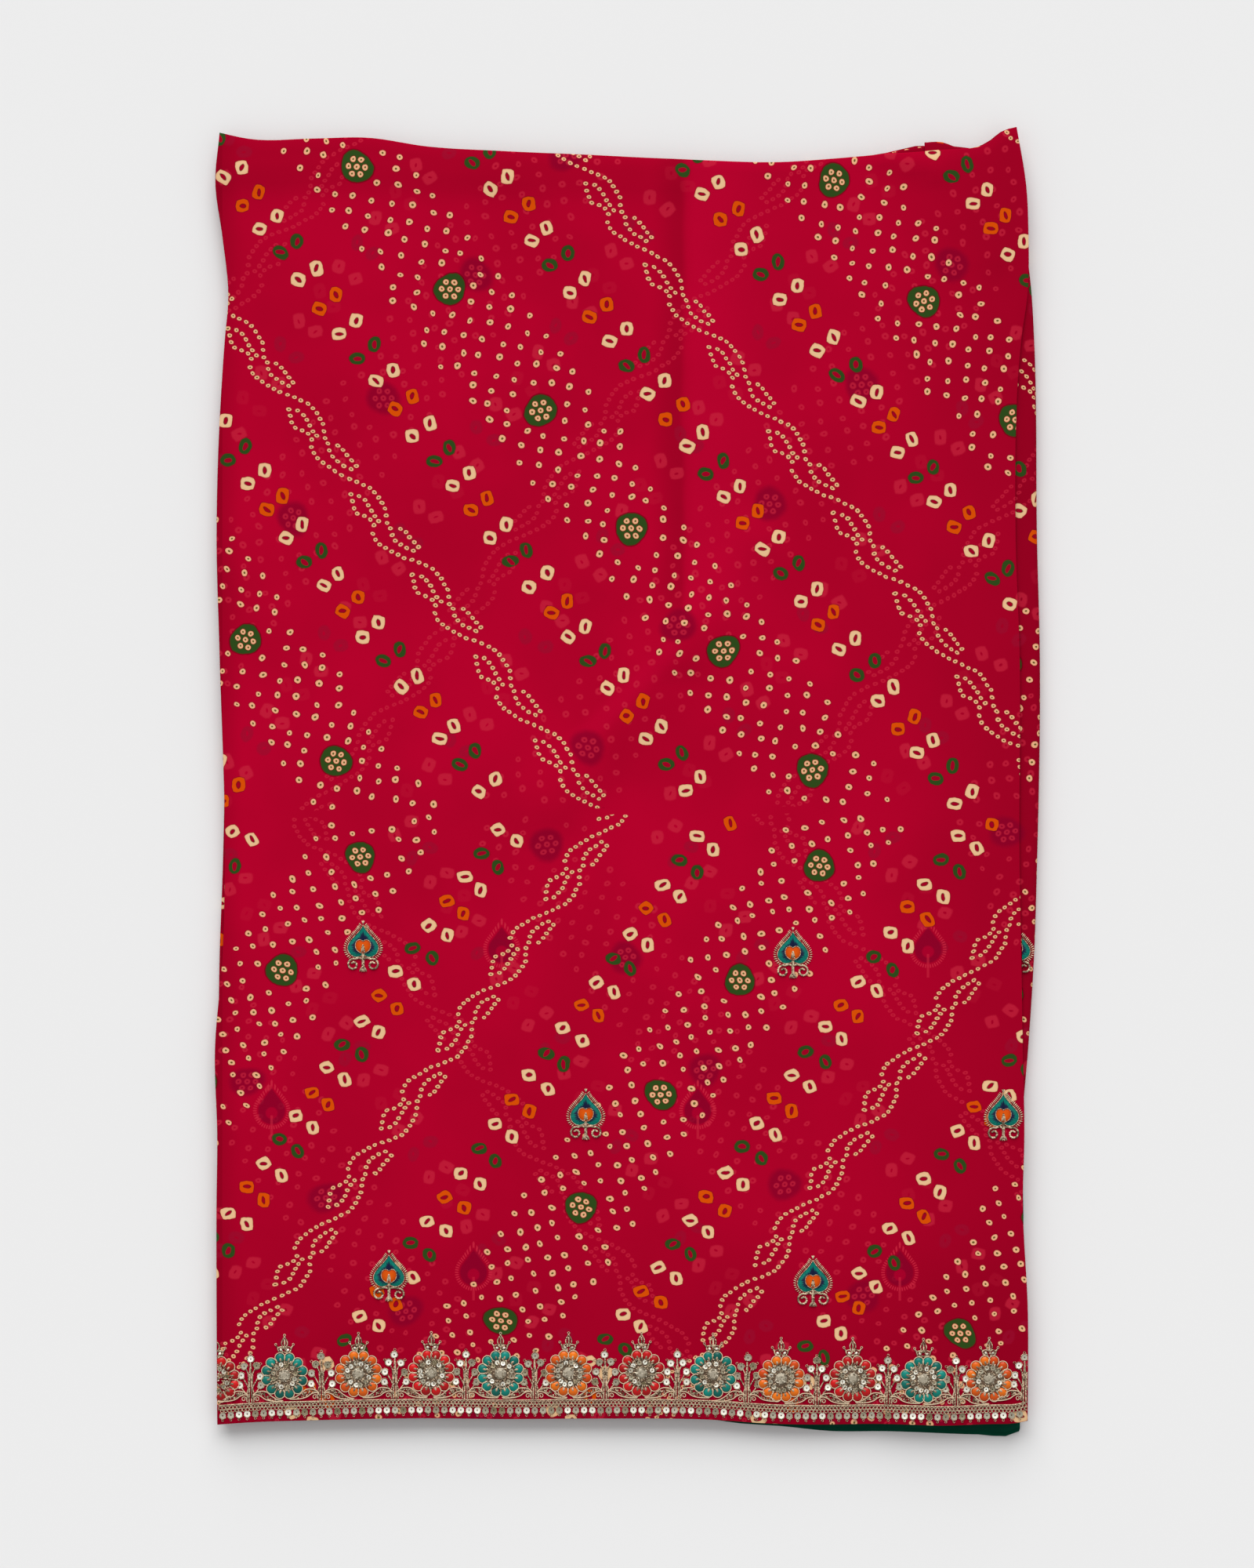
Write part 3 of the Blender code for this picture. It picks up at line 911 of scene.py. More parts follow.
def feathers_beneath(g, where, dye):
    """The feathers of the layer beneath, as dark spots with a comb of faint pink barbs."""
    u, v, _ = g.split(where)
    x, y = u / MM, v / MM
    row = ((GHOST_START[1] - y) / GHOST_ROW).rounded()
    odd = row.modulo(2.0)
    x = (x - GHOST_START[0] + odd * GHOST_SHIFT + row * row * GHOST_DRIFT).beat(GHOST_PERIOD)
    y = y - GHOST_START[1] + row * GHOST_ROW
    seen = row.over(-0.5) * row.under(GHOST_ROWS) * u.soft(-FRONT_END, -FRONT_END + 0.001)
    seen = seen * u.soft(FRONT_END, FRONT_END - 0.001)
    far, side = reach(x, y), abs(x)
    pointed = (y * GHOST_SIDE[0] - side * GHOST_SIDE[1]).over(0)
    slope = side * GHOST_SIDE[0] + y * GHOST_SIDE[1]
    far = far + (slope - far) * pointed
    angle = x.angle(y)
    inner, outer = GHOST_BARBS
    barbs = far.soft(inner - 0.4, inner + 0.4) * far.soft(outer + 0.6, outer - 0.6)
    barbs = barbs * abs((angle * 7).beat(1.0)).soft(0.32, 0.2)
    stem = side.soft(1.4, 0.7) * y.under(GHOST_STEM[0]) * y.over(GHOST_STEM[1])
    dye = g.blend(far.soft(GHOST_EYE + 1, GHOST_EYE - 1) * seen * 0.8, dye, DARK_THROUGH)
    heart = reach(x, y + 2).soft(GHOST_HEART + 1, GHOST_HEART - 1)
    dye = g.blend(heart * seen * 0.6, dye, RED)
    return g.blend((barbs * 0.8).most(stem * 0.5) * seen, dye, SEEN_THROUGH)


def show_through(g, dye):
    """The print of the layer beneath, soft and faint."""
    marks = Marks(g, "beneath")
    dark = marks.circle.soft(1.3, 0.8) * 0.75
    solid = marks.ring.soft(1.15, 0.8) * marks.slit.soft(0.8, 1.8)
    dark = dark.most(solid * marks.green * 0.55)
    light = marks.spot.soft(1.25, 0.75) * marks.spot.soft(0.15, 0.5)
    light = (light * 0.55).most(solid * (1 - marks.odd * 0.75) * 0.55)
    dye = g.blend(dark, dye, DARK_THROUGH)
    return g.blend(light, dye, SEEN_THROUGH)


def shade_sides(g, u, v, dye):
    """The cloth is darker where it curves away at its sides and near the border."""
    right, left, low = u.soft(0.2, 0.345), u.soft(-0.325, -0.35), v.soft(-0.36, -0.5)
    corner = v.soft(-0.3, -0.5) * u.soft(0.16, 0.34)
    light = (1 - right * 0.35) * (1 - left * 0.5) * (1 - low * 0.35) * (1 - corner * 0.4)
    return g.blend(1 - light, dye, SHADED_RED)


def light_crease(g, where, u, v, dye):
    """The long crease is dark on its left and catches the light on its right, and ends in a ridge."""
    upper = v.soft(CREASE_END[1], CREASE_END[1] + 0.04)
    right = u - CREASE_END[0] + (g.cloud(where, 9.0) - 0.5) * CREASE_WAVE
    dark = right.soft(-0.03, -0.004) * right.soft(0.005, -0.002) * upper
    lit = right.soft(-0.002, 0.012) * right.soft(0.12, 0.01) * upper
    down = right * RIDGE_WAY[0] + (v - CREASE_END[1]) * RIDGE_WAY[1]
    aside = abs(right * RIDGE_WAY[1] - (v - CREASE_END[1]) * RIDGE_WAY[0])
    ridge = aside.soft(0.014, 0.002) * down.soft(0.0, 0.01) * down.soft(0.155, 0.09)
    dye = g.blend(dark * 0.42, dye, SHADED_RED)
    return g.blend((lit * 0.36).most(ridge * 0.3), dye, LIT_RED)


def georgette():
    g = Graph("dyed georgette")
    marks = Marks(g, "cloth")
    ring, spot, circle = marks.ring, marks.spot, marks.circle
    u, v, _ = g.split(marks.where)
    cloudy = g.cloud(marks.where, 7.0, 3.0).soft(0.3, 0.7) * 0.5 + 0.5
    # Uneven dye from soft noise, with painted shade: darker towards the right, the bottom and along the
    # left part of the top edge.
    dye_and_painted_shade = cloudy * (1 - u.soft(0.0, 0.34) * 0.3) * (1 - v.soft(-0.1, -0.5) * 0.45)
    dye_and_painted_shade = dye_and_painted_shade * (1 - v.soft(0.49, 0.525) * (1 - u.soft(0.0, 0.1)) * 0.7)
    dye = g.blend(dye_and_painted_shade, DEEP_RED, RED)
    dye = light_crease(g, marks.where, u, v, shade_sides(g, u, v, dye))
    # Painted shade: darker on the layers past the front's folds and on the band behind the border.
    dye = g.blend(abs(u).over(FRONT_END) * 0.6, dye, SHADED_RED)
    dye = g.blend(v.soft(-0.492, -0.508) * 0.45, dye, SHADED_RED)
    dye = feathers_beneath(g, marks.where, show_through(g, dye))
    dye = g.blend(circle.soft(1.12, 1.0), dye, HALO)
    dye = g.blend(circle.soft(1.03, 0.95), dye, LEAF_GREEN)

    hue = g.blend(marks.odd, CREAM, g.blend(marks.green, ORANGE, LEAF_GREEN))
    hue = g.blend(ring.soft(0.72, 0.95) * 0.5, hue, g.blend(marks.odd, PALE, hue))
    dye = g.blend(ring.soft(1.16, 1.0) * 0.7, dye, HALO)
    dye = g.blend(ring.soft(1.04, 0.95), dye, hue)
    hole = marks.slit / (marks.green * 0.9 + 2.0)
    hole = hole + ring.over(1.0) * OUTSIDE
    dye = g.blend(hole.soft(1.5, 1.0) * (1 - marks.green), dye, HALO)
    dye = g.blend(hole.soft(1.05, 0.85), dye, DEEP_RED)

    dye = g.blend(spot.soft(1.35, 1.05) * 0.7, dye, HALO)
    rim = g.blend(spot.soft(0.35, 0.8), CREAM, PALE)
    dye = g.blend(spot.soft(1.06, 0.92), dye, rim)
    dye = g.blend(spot.soft(0.46, 0.28), dye, OLIVE)

    grain = g.bump(g.cloud(marks.where, CREPE_SCALE), 0.00012, 0.5)
    return g.finish(g.surface(Base_Color=dye, Normal=grain, **MATT))


saree = add_object("saree_sheet", saree_mesh, [georgette()])
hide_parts("saree_cloth")
print("nodes in the georgette:", len(saree.data.materials[0].node_tree.nodes))

# %% [markdown]
# ## The blouse cloth
# The plain dark green cloth lies beneath, folded once with its fold at the right. Its two edges show as
# two lines under the hem.

# %% The plain green cloth
BLOUSE_COLUMNS = 60
BLOUSE_ROWS = 60
GREEN = colour(12, 84, 62)
DARK_GREEN = colour(6, 52, 38)
THREADS = 5200.0


def blouse_grid():
    points, places = [], []
    lower, upper = CLOTH / 2, CLOTH / 2 + PITCH
    for share in np.linspace(0, 1, BLOUSE_ROWS):
        height = mix(LOWEST_ROW, HIGHEST_ROW, share)
        left, right = side_line["blouse_left"](height), side_line["blouse_right"](height)
        flat = np.linspace(left, right - PITCH / 2, BLOUSE_COLUMNS)
        turn_x, turn_z, _ = (part[1:-1] for part in round_turn(right, 1, lower, upper))
        x = np.concatenate([flat, turn_x, flat[::-1]])
        z = np.concatenate([np.full_like(flat, lower), turn_z, np.full_like(flat, upper)])
        hem = blouse_hem(x) + BLOUSE_UPPER_EDGE_IN * (z - lower) / PITCH
        y = mix(hem, BLOUSE_HEIGHT, share)
        along = np.concatenate([[0], np.cumsum(np.hypot(np.diff(x), np.diff(z)))])
        points.append(np.stack([x, y, z], 1))
        places.append(np.stack([along, y], 1))
    return np.array(points), np.array(places)


def plain_green():
    g = Graph("plain green cloth")
    where = g.node("UVMap", {"uv_map": "cloth"})
    u, v, _ = g.split(where)
    threads = (u * THREADS).sine() * (v * THREADS).sine()
    dye = g.blend(g.cloud(where, 30.0, 3.0), DARK_GREEN, GREEN)
    weave = g.bump(threads, 0.0001, 0.5)
    return g.finish(g.surface(Base_Color=dye, Normal=weave, **MATT))


blouse_points, blouse_places = blouse_grid()
blouse_mesh = sheet_mesh("blouse", blouse_points, {"cloth": blouse_places})
blouse = add_object("blouse_sheet", blouse_mesh, [plain_green()])
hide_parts("blouse_cloth")
print("blouse cloth:", len(blouse_mesh.polygons), "faces")

# %% [markdown]
# ## Threads, beads and sequins
# The border is sewn by hand from a few kinds of small things. Each kind is modelled once with a few
# faces, and every copy is placed by numbers: its place on the face, its height above the cloth, its half
# sizes, its turn and its tilt. All the copies of one piece of embroidery are joined in one mesh, which
# rests on the creased cloth. Each copy keeps a random shade, so no two sequins shine alike: the bright
# sequins and stone facets are painted glints.

# %% Small shapes
Shape = namedtuple("Shape", "corners faces shades stitches")
BEAD_STEPS = 1
SEQUIN_SIDES = 12
SEQUIN_HOLE = 0.2
PETAL_SIDES = 12
STONE_SIDES = 8
EDGE_MARGIN = 0.8
PAINTED_GLINT_SHARE = 0.36


def shape_of(small):
    """The corners, the triangles and the two numbers of each corner of a small mesh."""
    bmesh.ops.triangulate(small, faces=small.faces)
    small.verts.index_update()
    corners = np.array([vertex.co for vertex in small.verts])
    faces = np.array([[vertex.index for vertex in face.verts] for face in small.faces])
    numbers = []
    for name in ("shade", "stitch"):
        layer = small.verts.layers.float.get(name)
        numbers.append(np.array([vertex[layer] for vertex in small.verts]) if layer else None)
    small.free()
    return Shape(corners, faces, *numbers)


def disc(sides, inner, depth):
    """A round of faces with an inner round at another height, and its middle face."""
    small = bmesh.new()
    bmesh.ops.create_circle(small, cap_ends=True, segments=sides, radius=1)
    inset = (1 - inner) * cos(pi / sides)
    bmesh.ops.inset_region(small, faces=small.faces[:], thickness=inset, use_boundary=True)
    middle = max(small.faces, key=lambda face: len(face.verts))
    bmesh.ops.translate(small, verts=middle.verts, vec=(0, 0, depth))
    return small, middle


def bead():
    small = bmesh.new()
    bmesh.ops.create_icosphere(small, subdivisions=BEAD_STEPS, radius=1)
    return shape_of(small)


def sequin():
    """A cupped disc with a hole."""
    small, middle = disc(SEQUIN_SIDES, SEQUIN_HOLE, -0.12)
    bmesh.ops.delete(small, geom=[middle], context="FACES_ONLY")
    return shape_of(small)


def petal():
    """A low dome, narrower at the end that points down."""
    small, middle = disc(PETAL_SIDES, 0.66, 0.8)
    top = bmesh.ops.poke(small, faces=[middle])["verts"]
    bmesh.ops.translate(small, verts=top, vec=(0, 0, 0.2))
    for vertex in small.verts:
        vertex.co.x *= 1 + 0.3 * min(vertex.co.y, 0)
    return shape_of(small)


def stone():
    """A cut stone with a flat table."""
    small, _ = disc(STONE_SIDES, 0.5, 1.0)
    return shape_of(small)


BEAD, SEQUIN, PETAL, STONE = bead(), sequin(), petal(), stone()
print("triangles:", {name: len(shape.faces) for name, shape in zip(("bead", "sequin"), (BEAD, SEQUIN))})

# %% [markdown]
# A line of couched cord is a row of long beads, each turned a little across the line as the strands of a
# twisted cord are. Lines are arcs, spirals and smooth bends through a few places.


# %% Lines
def arc(x, y, radius, start, end, squash=1.0):
    """Points on an arc between two angles in degrees."""
    angle = np.radians(np.linspace(start, end, 40))
    return np.stack([x + radius * np.cos(angle), y + radius * squash * np.sin(angle)], 1)


def spiral(x, y, outer, inner, start, end):
    angle = np.radians(np.linspace(start, end, 80))
    radius = np.linspace(outer, inner, 80)
    return np.stack([x + radius * np.cos(angle), y + radius * np.sin(angle)], 1)


def bend(*places):
    """A smooth line through a few places."""
    places = np.array(places, float)
    numbers = np.arange(len(places))
    t = np.linspace(0, numbers[-1], 10 * len(places))
    return np.stack([smooth_curve(numbers, places[:, i])(t) for i in (0, 1)], 1)


def walk(points, step):
    """Even steps along a line: places across and up, and the direction at each."""
    along = np.concatenate([[0], np.cumsum(np.hypot(*np.diff(points, axis=0).T))])
    places = np.arange(step / 2, along[-1], step)
    x, y = (np.interp(places, along, points[:, i]) for i in (0, 1))
    ahead_x, ahead_y = (np.interp(places + step / 4, along, points[:, i]) for i in (0, 1))
    behind_x, behind_y = (np.interp(places - step / 4, along, points[:, i]) for i in (0, 1))
    return x, y, np.arctan2(ahead_y - behind_y, ahead_x - behind_x)


class Needlework:
    """Copies of small shapes in millimetres, gathered on the face of the cloth or on another layer."""

    def __init__(self, across=0.0, height=0.0, ground=face_height, lines=("front_left", "front_right")):
        self.across = across
        self.height = height
        self.ground = ground
        self.lines = lines
        self.batches = []

    def add(self, shape, x, y, lift, size, turn=0.0, tilt=0.0, finish=0, shade=None, flat=False):
        """Copies of one shape; every number may be one for all or one for each.

        Copies past the folds are left out, apart from the padded patches, which are cut beforehand.
        """
        x, y, lift, turn, tilt = (np.ravel(part) for part in np.broadcast_arrays(x, y, lift, turn, tilt))
        shade = rng.random(len(x)) if shade is None else np.broadcast_to(shade, len(x))
        size = np.broadcast_to(size, (len(x), 3))
        left, right = (side_line[name](y + self.height) for name in self.lines)
        kept = (x + self.across > left + EDGE_MARGIN) & (x + self.across < right - EDGE_MARGIN)
        if shape.stitches is not None:
            kept[:] = True
        numbers = (x, y, lift, turn, tilt, shade, size)
        x, y, lift, turn, tilt, shade, size = (part[kept] for part in numbers)
        local = shape.corners * size[:, None, :]
        co, si = np.cos(tilt)[:, None], np.sin(tilt)[:, None]
        y1 = local[..., 1] * co - local[..., 2] * si
        z1 = local[..., 1] * si + local[..., 2] * co
        co, si = np.cos(turn)[:, None], np.sin(turn)[:, None]
        x2 = local[..., 0] * co - y1 * si + x[:, None] + self.across
        y2 = local[..., 0] * si + y1 * co + y[:, None] + self.height
        points = np.stack([x2, y2, z1 + lift[:, None] + self.ground(x2, y2)], -1)
        if shape.shades is None:
            shades = np.repeat(shade[:, None], len(shape.corners), 1)
        else:
            shades = shape.shades[None]
        stitches = np.zeros_like(shades) if shape.stitches is None else shape.stitches[None]
        self.batches.append((points, shape.faces, shades, stitches, finish, flat))

    def cord(self, points, width, lift=0.5, twist=0.5, finish=0, shade=None):
        """A twisted cord couched along a line."""
        x, y, turn = walk(points, width * 0.8)
        size = (width * 0.72, width * 0.42, width * 0.42)
        self.add(BEAD, x, y, lift, size, turn + twist, 0, finish, shade)

    def both(self, points, width, lift=0.5, finish=0, shade=None):
        """The same cord on the right and, mirrored, on the left."""
        self.cord(points, width, lift, 0.5, finish, shade)
        self.cord(points * (-1, 1), width, lift, -0.5, finish, shade)

    def sequins(self, places, radius, lift=0.6, spread=0.2, finish=1):
        """Sequins at places, turned and tilted at random: many are dull and the others are painted nearly
        white, as glints.
        """
        x, y = np.array(places, float).T
        count = len(x)
        # Painted glints: a share of the sequins gets a near-white colour.
        painted_glints = rng.random(count) < PAINTED_GLINT_SHARE
        shade = np.where(painted_glints, rng.uniform(0.8, 1, count), rng.uniform(0, 0.45, count))
        turn, tilt = rng.uniform(0, tau, count), rng.uniform(0, spread, count)
        self.add(SEQUIN, x, y, lift, (radius, radius, radius), turn, tilt, finish, shade, True)
        self.add(BEAD, x, y, lift, (0.5, 0.5, 0.4), 0, 0, 0, 0)

    def piece(self, name, finishes):
        """All the batches joined in one mesh."""
        counts = [points.shape[0] * points.shape[1] for points, *_ in self.batches]
        starts = np.concatenate([[0], np.cumsum(counts)])
        points = np.concatenate([batch[0].reshape(-1, 3) for batch in self.batches])
        faces, marks, flats = [], [], []
        for start, (copies, triangles, _, _, finish, flat) in zip(starts, self.batches):
            steps = start + np.arange(len(copies)) * copies.shape[1]
            faces.append((triangles[None] + steps[:, None, None]).reshape(-1, 3))
            marks.append(np.full(len(faces[-1]), finish))
            flats.append(np.full(len(faces[-1]), flat))
        mesh = bpy.data.meshes.new(name)
        mesh.from_pydata(points * MM, [], np.concatenate(faces).tolist())
        mesh.polygons.foreach_set("material_index", np.concatenate(marks))
        for key, column in (("shade", 2), ("stitch", 3)):
            numbers = np.concatenate([batch[column].ravel() for batch in self.batches])
            mesh.attributes.new(key, "FLOAT", "POINT").data.foreach_set("value", numbers)
        made = add_object(name, mesh, finishes, smooth=False)
        mesh.polygons.foreach_set("use_smooth", ~np.concatenate(flats))
        return made


print("points on a round of cord:", len(walk(arc(0, 0, 10, 0, 360), 1.0)[0]))

# %% [markdown]
# ## Silver, sequins, petals and stitches
# Each finish reads the copy's shade. Dull sequins are olive beige and a few are painted nearly white,
# as painted glints where they would catch the light.

# %% Finishes
def shaded(name, dark, bright, **settings):
    """A finish whose colour runs from dark to bright with the copy's shade."""
    g = Graph(name)
    shade = g.node("Attribute", {"attribute_name": "shade"}, out="Fac")
    dye = g.blend(shade, colour(*dark), colour(*bright))
    return g.finish(g.surface(Base_Color=dye, **settings))


def satin():
    """Satin stitches: teal at the edge and navy within, each stitch a little lighter or darker."""
    g = Graph("satin stitch")
    depth = g.node("Attribute", {"attribute_name": "shade"}, out="Fac")
    place = g.node("Attribute", {"attribute_name": "stitch"}, out="Fac")
    stitch = place.rounded()
    a, b, _ = g.random(stitch, 0.0)
    deep = (depth + (a - 0.5) * 0.16).soft(0.22, 0.38)
    dye = g.blend(deep, g.blend(b, TEAL, TEAL_LIGHT), NAVY)
    ridge = abs(place.beat(1.0))
    normal = g.bump(ridge, 0.0004, 0.7)
    return g.finish(g.surface(Base_Color=dye, Roughness=0.5, Normal=normal, Specular_IOR_Level=0.12))


TEAL = colour(0, 104, 92)
TEAL_LIGHT = colour(0, 128, 112)
NAVY = colour(20, 28, 62)
METAL = {"Metallic": 0.15, "Roughness": 0.5, "Specular_IOR_Level": 0.3}
SILVER = shaded("silver thread", (84, 66, 44), (230, 206, 174), **METAL)
SEQUINS = shaded("sequins", (124, 112, 78), (255, 253, 238), Metallic=0.2, Roughness=0.4)
STONES = shaded("stones", (104, 90, 66), (244, 234, 212), Metallic=0.15, Roughness=0.6)
# A dark finish that paints the shade under the rosettes' silver clusters.
PAINTED_SHADE_DISC = shaded("painted shade under the silver", (88, 64, 46), (150, 126, 98), Metallic=0.1, Roughness=0.7)
SATIN = satin()
STITCHED = {"Roughness": 0.5, "Specular_IOR_Level": 0.1}
HEART = shaded("orange stitches", (196, 66, 0), (226, 96, 4), **STITCHED)
GLOSSY = {"Roughness": 0.35, "Specular_IOR_Level": 0.25, "Coat_Weight": 0.12}
PETALS = {
    "teal": shaded("teal petals", (0, 84, 74), (0, 136, 122), **GLOSSY),
    "orange": shaded("orange petals", (198, 66, 0), (232, 116, 10), **GLOSSY),
    "red": shaded("red petals", (150, 0, 6), (208, 14, 16), **GLOSSY),
}
print("petal colours:", ", ".join(PETALS))

# %% [markdown]
# ## The braid and the row of sequins
# A bright cord, two chains of small loops under it like lace, and a row of sequins that each end in a
# drop run along the hem from side to side. Dull beads fill the gaps behind the loops; their dark tones
# are partly painted shade.

# %% The braid
BRAID_IN = 1.2
CORD_UP = 15.8
CORD_WIDTH = 1.5
BAND_UP = 13.2
BAND_HALF = 2.2
BAND_STEP = 0.6
LOOP_ROWS = (13.5, 10.9)
LOOP_PITCH = 3.1
LOOP_RADIUS = 1.35
SEQUINS_UP = 7.0
SEQUIN_PITCH = 7.0
DROPS_UP = 2.8
LEFT_END = side_line["front_left"](LOWEST_ROW) + BRAID_IN
RIGHT_END = side_line["front_right"](LOWEST_ROW) - BRAID_IN


def hem_run(up):
    """A line that follows the hem at a height above it."""
    x = np.linspace(LEFT_END, RIGHT_END, 400)
    return np.stack([x, end_line["hem"](x) + up], 1)


def loops(work, centres, radius, width, count, lift=0.5, shades=(0.0, 1.0)):
    """Small rounds of thread."""
    for x, y in centres:
        angle = np.linspace(0, tau, count, endpoint=False) + rng.uniform(0, 1)
        size = (width * 0.75, width / 2, width / 2)
        shade = rng.uniform(*shades, count)
        x, y = x + radius * np.cos(angle), y + radius * np.sin(angle)
        work.add(BEAD, x, y, lift, size, angle + pi / 2, 0, 0, shade)


def sew_braid():
    work = Needlework()
    # Dark filling beads, their darkness partly painted shade in the gaps behind the loops.
    x, y, _ = walk(hem_run(BAND_UP), BAND_STEP)
    count = len(x)
    size = rng.uniform((0.5, 0.35, 0.3), (1.1, 0.6, 0.5), (count, 3))
    y = y + rng.uniform(-BAND_HALF, BAND_HALF, count)
    work.add(BEAD, x, y, 0.4, size, rng.uniform(0, tau, count), 0, 0, rng.uniform(0, 0.35, count))
    x, y, turn = walk(hem_run(CORD_UP), CORD_WIDTH * 0.7)
    size = (CORD_WIDTH * 0.6, CORD_WIDTH * 0.36, 0.5)
    work.add(BEAD, x, y, 0.7, size, turn + 0.6, 0, 0, rng.uniform(0.35, 1, len(x)))
    for row, up in enumerate(LOOP_ROWS):
        x, y, _ = walk(hem_run(up), LOOP_PITCH)
        loops(work, zip(x + row * LOOP_PITCH / 2, y), LOOP_RADIUS, 0.75, 9, 0.8, (0.3, 0.95))
    made = work.piece("braid", [SILVER])
    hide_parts("hem_braid")


def sew_sequin_row():
    work = Needlework()
    x, y, _ = walk(hem_run(SEQUINS_UP), SEQUIN_PITCH)
    work.sequins(np.stack([x, y], 1), 2.7)
    for i in range(len(x)):
        work.cord(arc(x[i], y[i], 3.0, 200, 340), 0.6, 0.5)
    x, y, _ = walk(hem_run(DROPS_UP), SEQUIN_PITCH)
    loops(work, zip(x, y), 0.85, 0.6, 6)
    made = work.piece("sequin_row", [SILVER, SEQUINS])
    return len(x)


sew_braid()
print("sequins in the row:", sew_sequin_row())

# %% [markdown]
# ## The rosettes
# Twelve glossy petals, each edged with a scallop of thread and each with a silver tongue in its middle,
# stand round a ring of sequins and a cut stone. Teal, orange and red take turns along the border. A
# twelfth rosette lies on the left fold, and its right half shows.

# %% Rosettes
ROSETTES_ACROSS = (-292, -229, -167, -108, -50, 12, 73, 131, 192, 252, 308)
LEFT_FOLD_ROSETTE = -350
RIGHT_FOLD_ROSETTE = 368
ROSETTES_UP = 38.3
PETAL_COUNT = 12
PETAL_REACH = 15.6
PETAL_SIZE = (4.0, 4.3, 1.5)
SCALLOP_REACH = 15.7
SCALLOP_RADIUS = 4.3
TONGUE_REACH = 14.0
SPOKE_REACH = 14.2
RING_REACH = 9.4
STONE_RADIUS = 5.4
PAINTED_SHADE_DISC_RADIUS = 13.0
FILLING = 260
FILLING_FROM, FILLING_TO = 5.0, 13.2
FACETS = 34
FACETS_TO = 5.2
Tone = namedtuple("Tone", "petals slot")
TONES = (Tone("teal", "petals_teal"), Tone("orange", "petals_orange"), Tone("red", "petals_red"))


def rosette_centre(across):
    return across, float(end_line["hem"](across)) + ROSETTES_UP


def around(far, angle):
    return far * np.cos(angle), far * np.sin(angle)


def sew_rosette(name, across, tone):
    work = Needlework(*rosette_centre(across))
    angle = (np.arange(PETAL_COUNT) + 0.5) * tau / PETAL_COUNT + rng.normal(0, 0.02, PETAL_COUNT)
    # A dark disc under the silver cluster, painted shade in the gaps between its beads.
    work.add(STONE, 0, 0, 0.3, (PAINTED_SHADE_DISC_RADIUS, PAINTED_SHADE_DISC_RADIUS, 0.8), 0, 0, 3, 0.2)
    x, y = around(PETAL_REACH + rng.normal(0, 0.2, PETAL_COUNT), angle)
    work.add(PETAL, x, y, 0.3, PETAL_SIZE, angle - pi / 2, 0, 2)
    for petal_x, petal_y, turn in zip(*around(SCALLOP_REACH, angle), np.degrees(angle)):
        scallop = arc(petal_x, petal_y, SCALLOP_RADIUS, turn - 100, turn + 100)
        work.cord(scallop, 0.9, 1.0, 0.5, 0, 0.85)
    x, y = around(TONGUE_REACH, angle)
    work.add(BEAD, x, y, 1.5, (2.0, 1.05, 0.6), angle, 0, 0, rng.uniform(0.1, 0.7, PETAL_COUNT))
    spoke = angle + pi / PETAL_COUNT
    x, y = around(SPOKE_REACH, spoke)
    work.add(BEAD, x, y, 0.8, (2.6, 0.75, 0.8), spoke, 0, 0, rng.uniform(0.2, 0.9, PETAL_COUNT))
    far = RING_REACH + rng.normal(0, 0.3, PETAL_COUNT)
    x, y = around(far, angle + rng.normal(0, 0.05, PETAL_COUNT))
    work.sequins(np.stack([x, y], 1), 2.0, 1.7, 0.35)
    turn = rng.uniform(0, tau, FILLING)
    far = np.sqrt(rng.uniform(FILLING_FROM**2, FILLING_TO**2, FILLING))
    x, y = around(far, turn)
    size = rng.uniform((0.6, 0.3, 0.4), (1.5, 0.55, 0.7), (FILLING, 3))
    work.add(BEAD, x, y, 1.3, size, turn + rng.normal(0, 0.6, FILLING), 0, 0, rng.random(FILLING) ** 1.2)
    size = (STONE_RADIUS, STONE_RADIUS, 1.9)
    work.add(STONE, 0, 0, 0.9, size, rng.uniform(0, 1), 0.05, 4, 0.35, True)
    # Small facet stones in random tones; the bright ones are painted glints.
    x, y = around(np.sqrt(rng.uniform(0.2, FACETS_TO**2, FACETS)), rng.uniform(0, tau, FACETS))
    shade = rng.random(FACETS) ** 2
    size = rng.uniform((0.5, 0.3, 0.4), (1.4, 0.7, 0.7), (FACETS, 3))
    work.add(STONE, x, y, 2.3, size, rng.uniform(0, tau, FACETS), 0.3, 4, shade, True)
    made = work.piece(name, [SILVER, SEQUINS, PETALS[tone.petals], PAINTED_SHADE_DISC, STONES])
    return made


for number, across in enumerate(ROSETTES_ACROSS):
    sewn = sew_rosette(f"rosette_sewn_{number + 1:02d}", across, TONES[number % len(TONES)])
    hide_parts(f"rosette_{number + 1:02d}")
sew_rosette("rosette_on_the_left_fold", LEFT_FOLD_ROSETTE, TONES[-1])
print("rosettes:", len(ROSETTES_ACROSS), "with", len(sewn.data.polygons), "faces each")

# %% [markdown]
# ## Crowns, sprigs and scrolls
# A small crown of loops stands on each rosette. Between two rosettes a sprig of seven sequins grows from
# the braid, with a beaded leaf and a curl at each side of its foot.

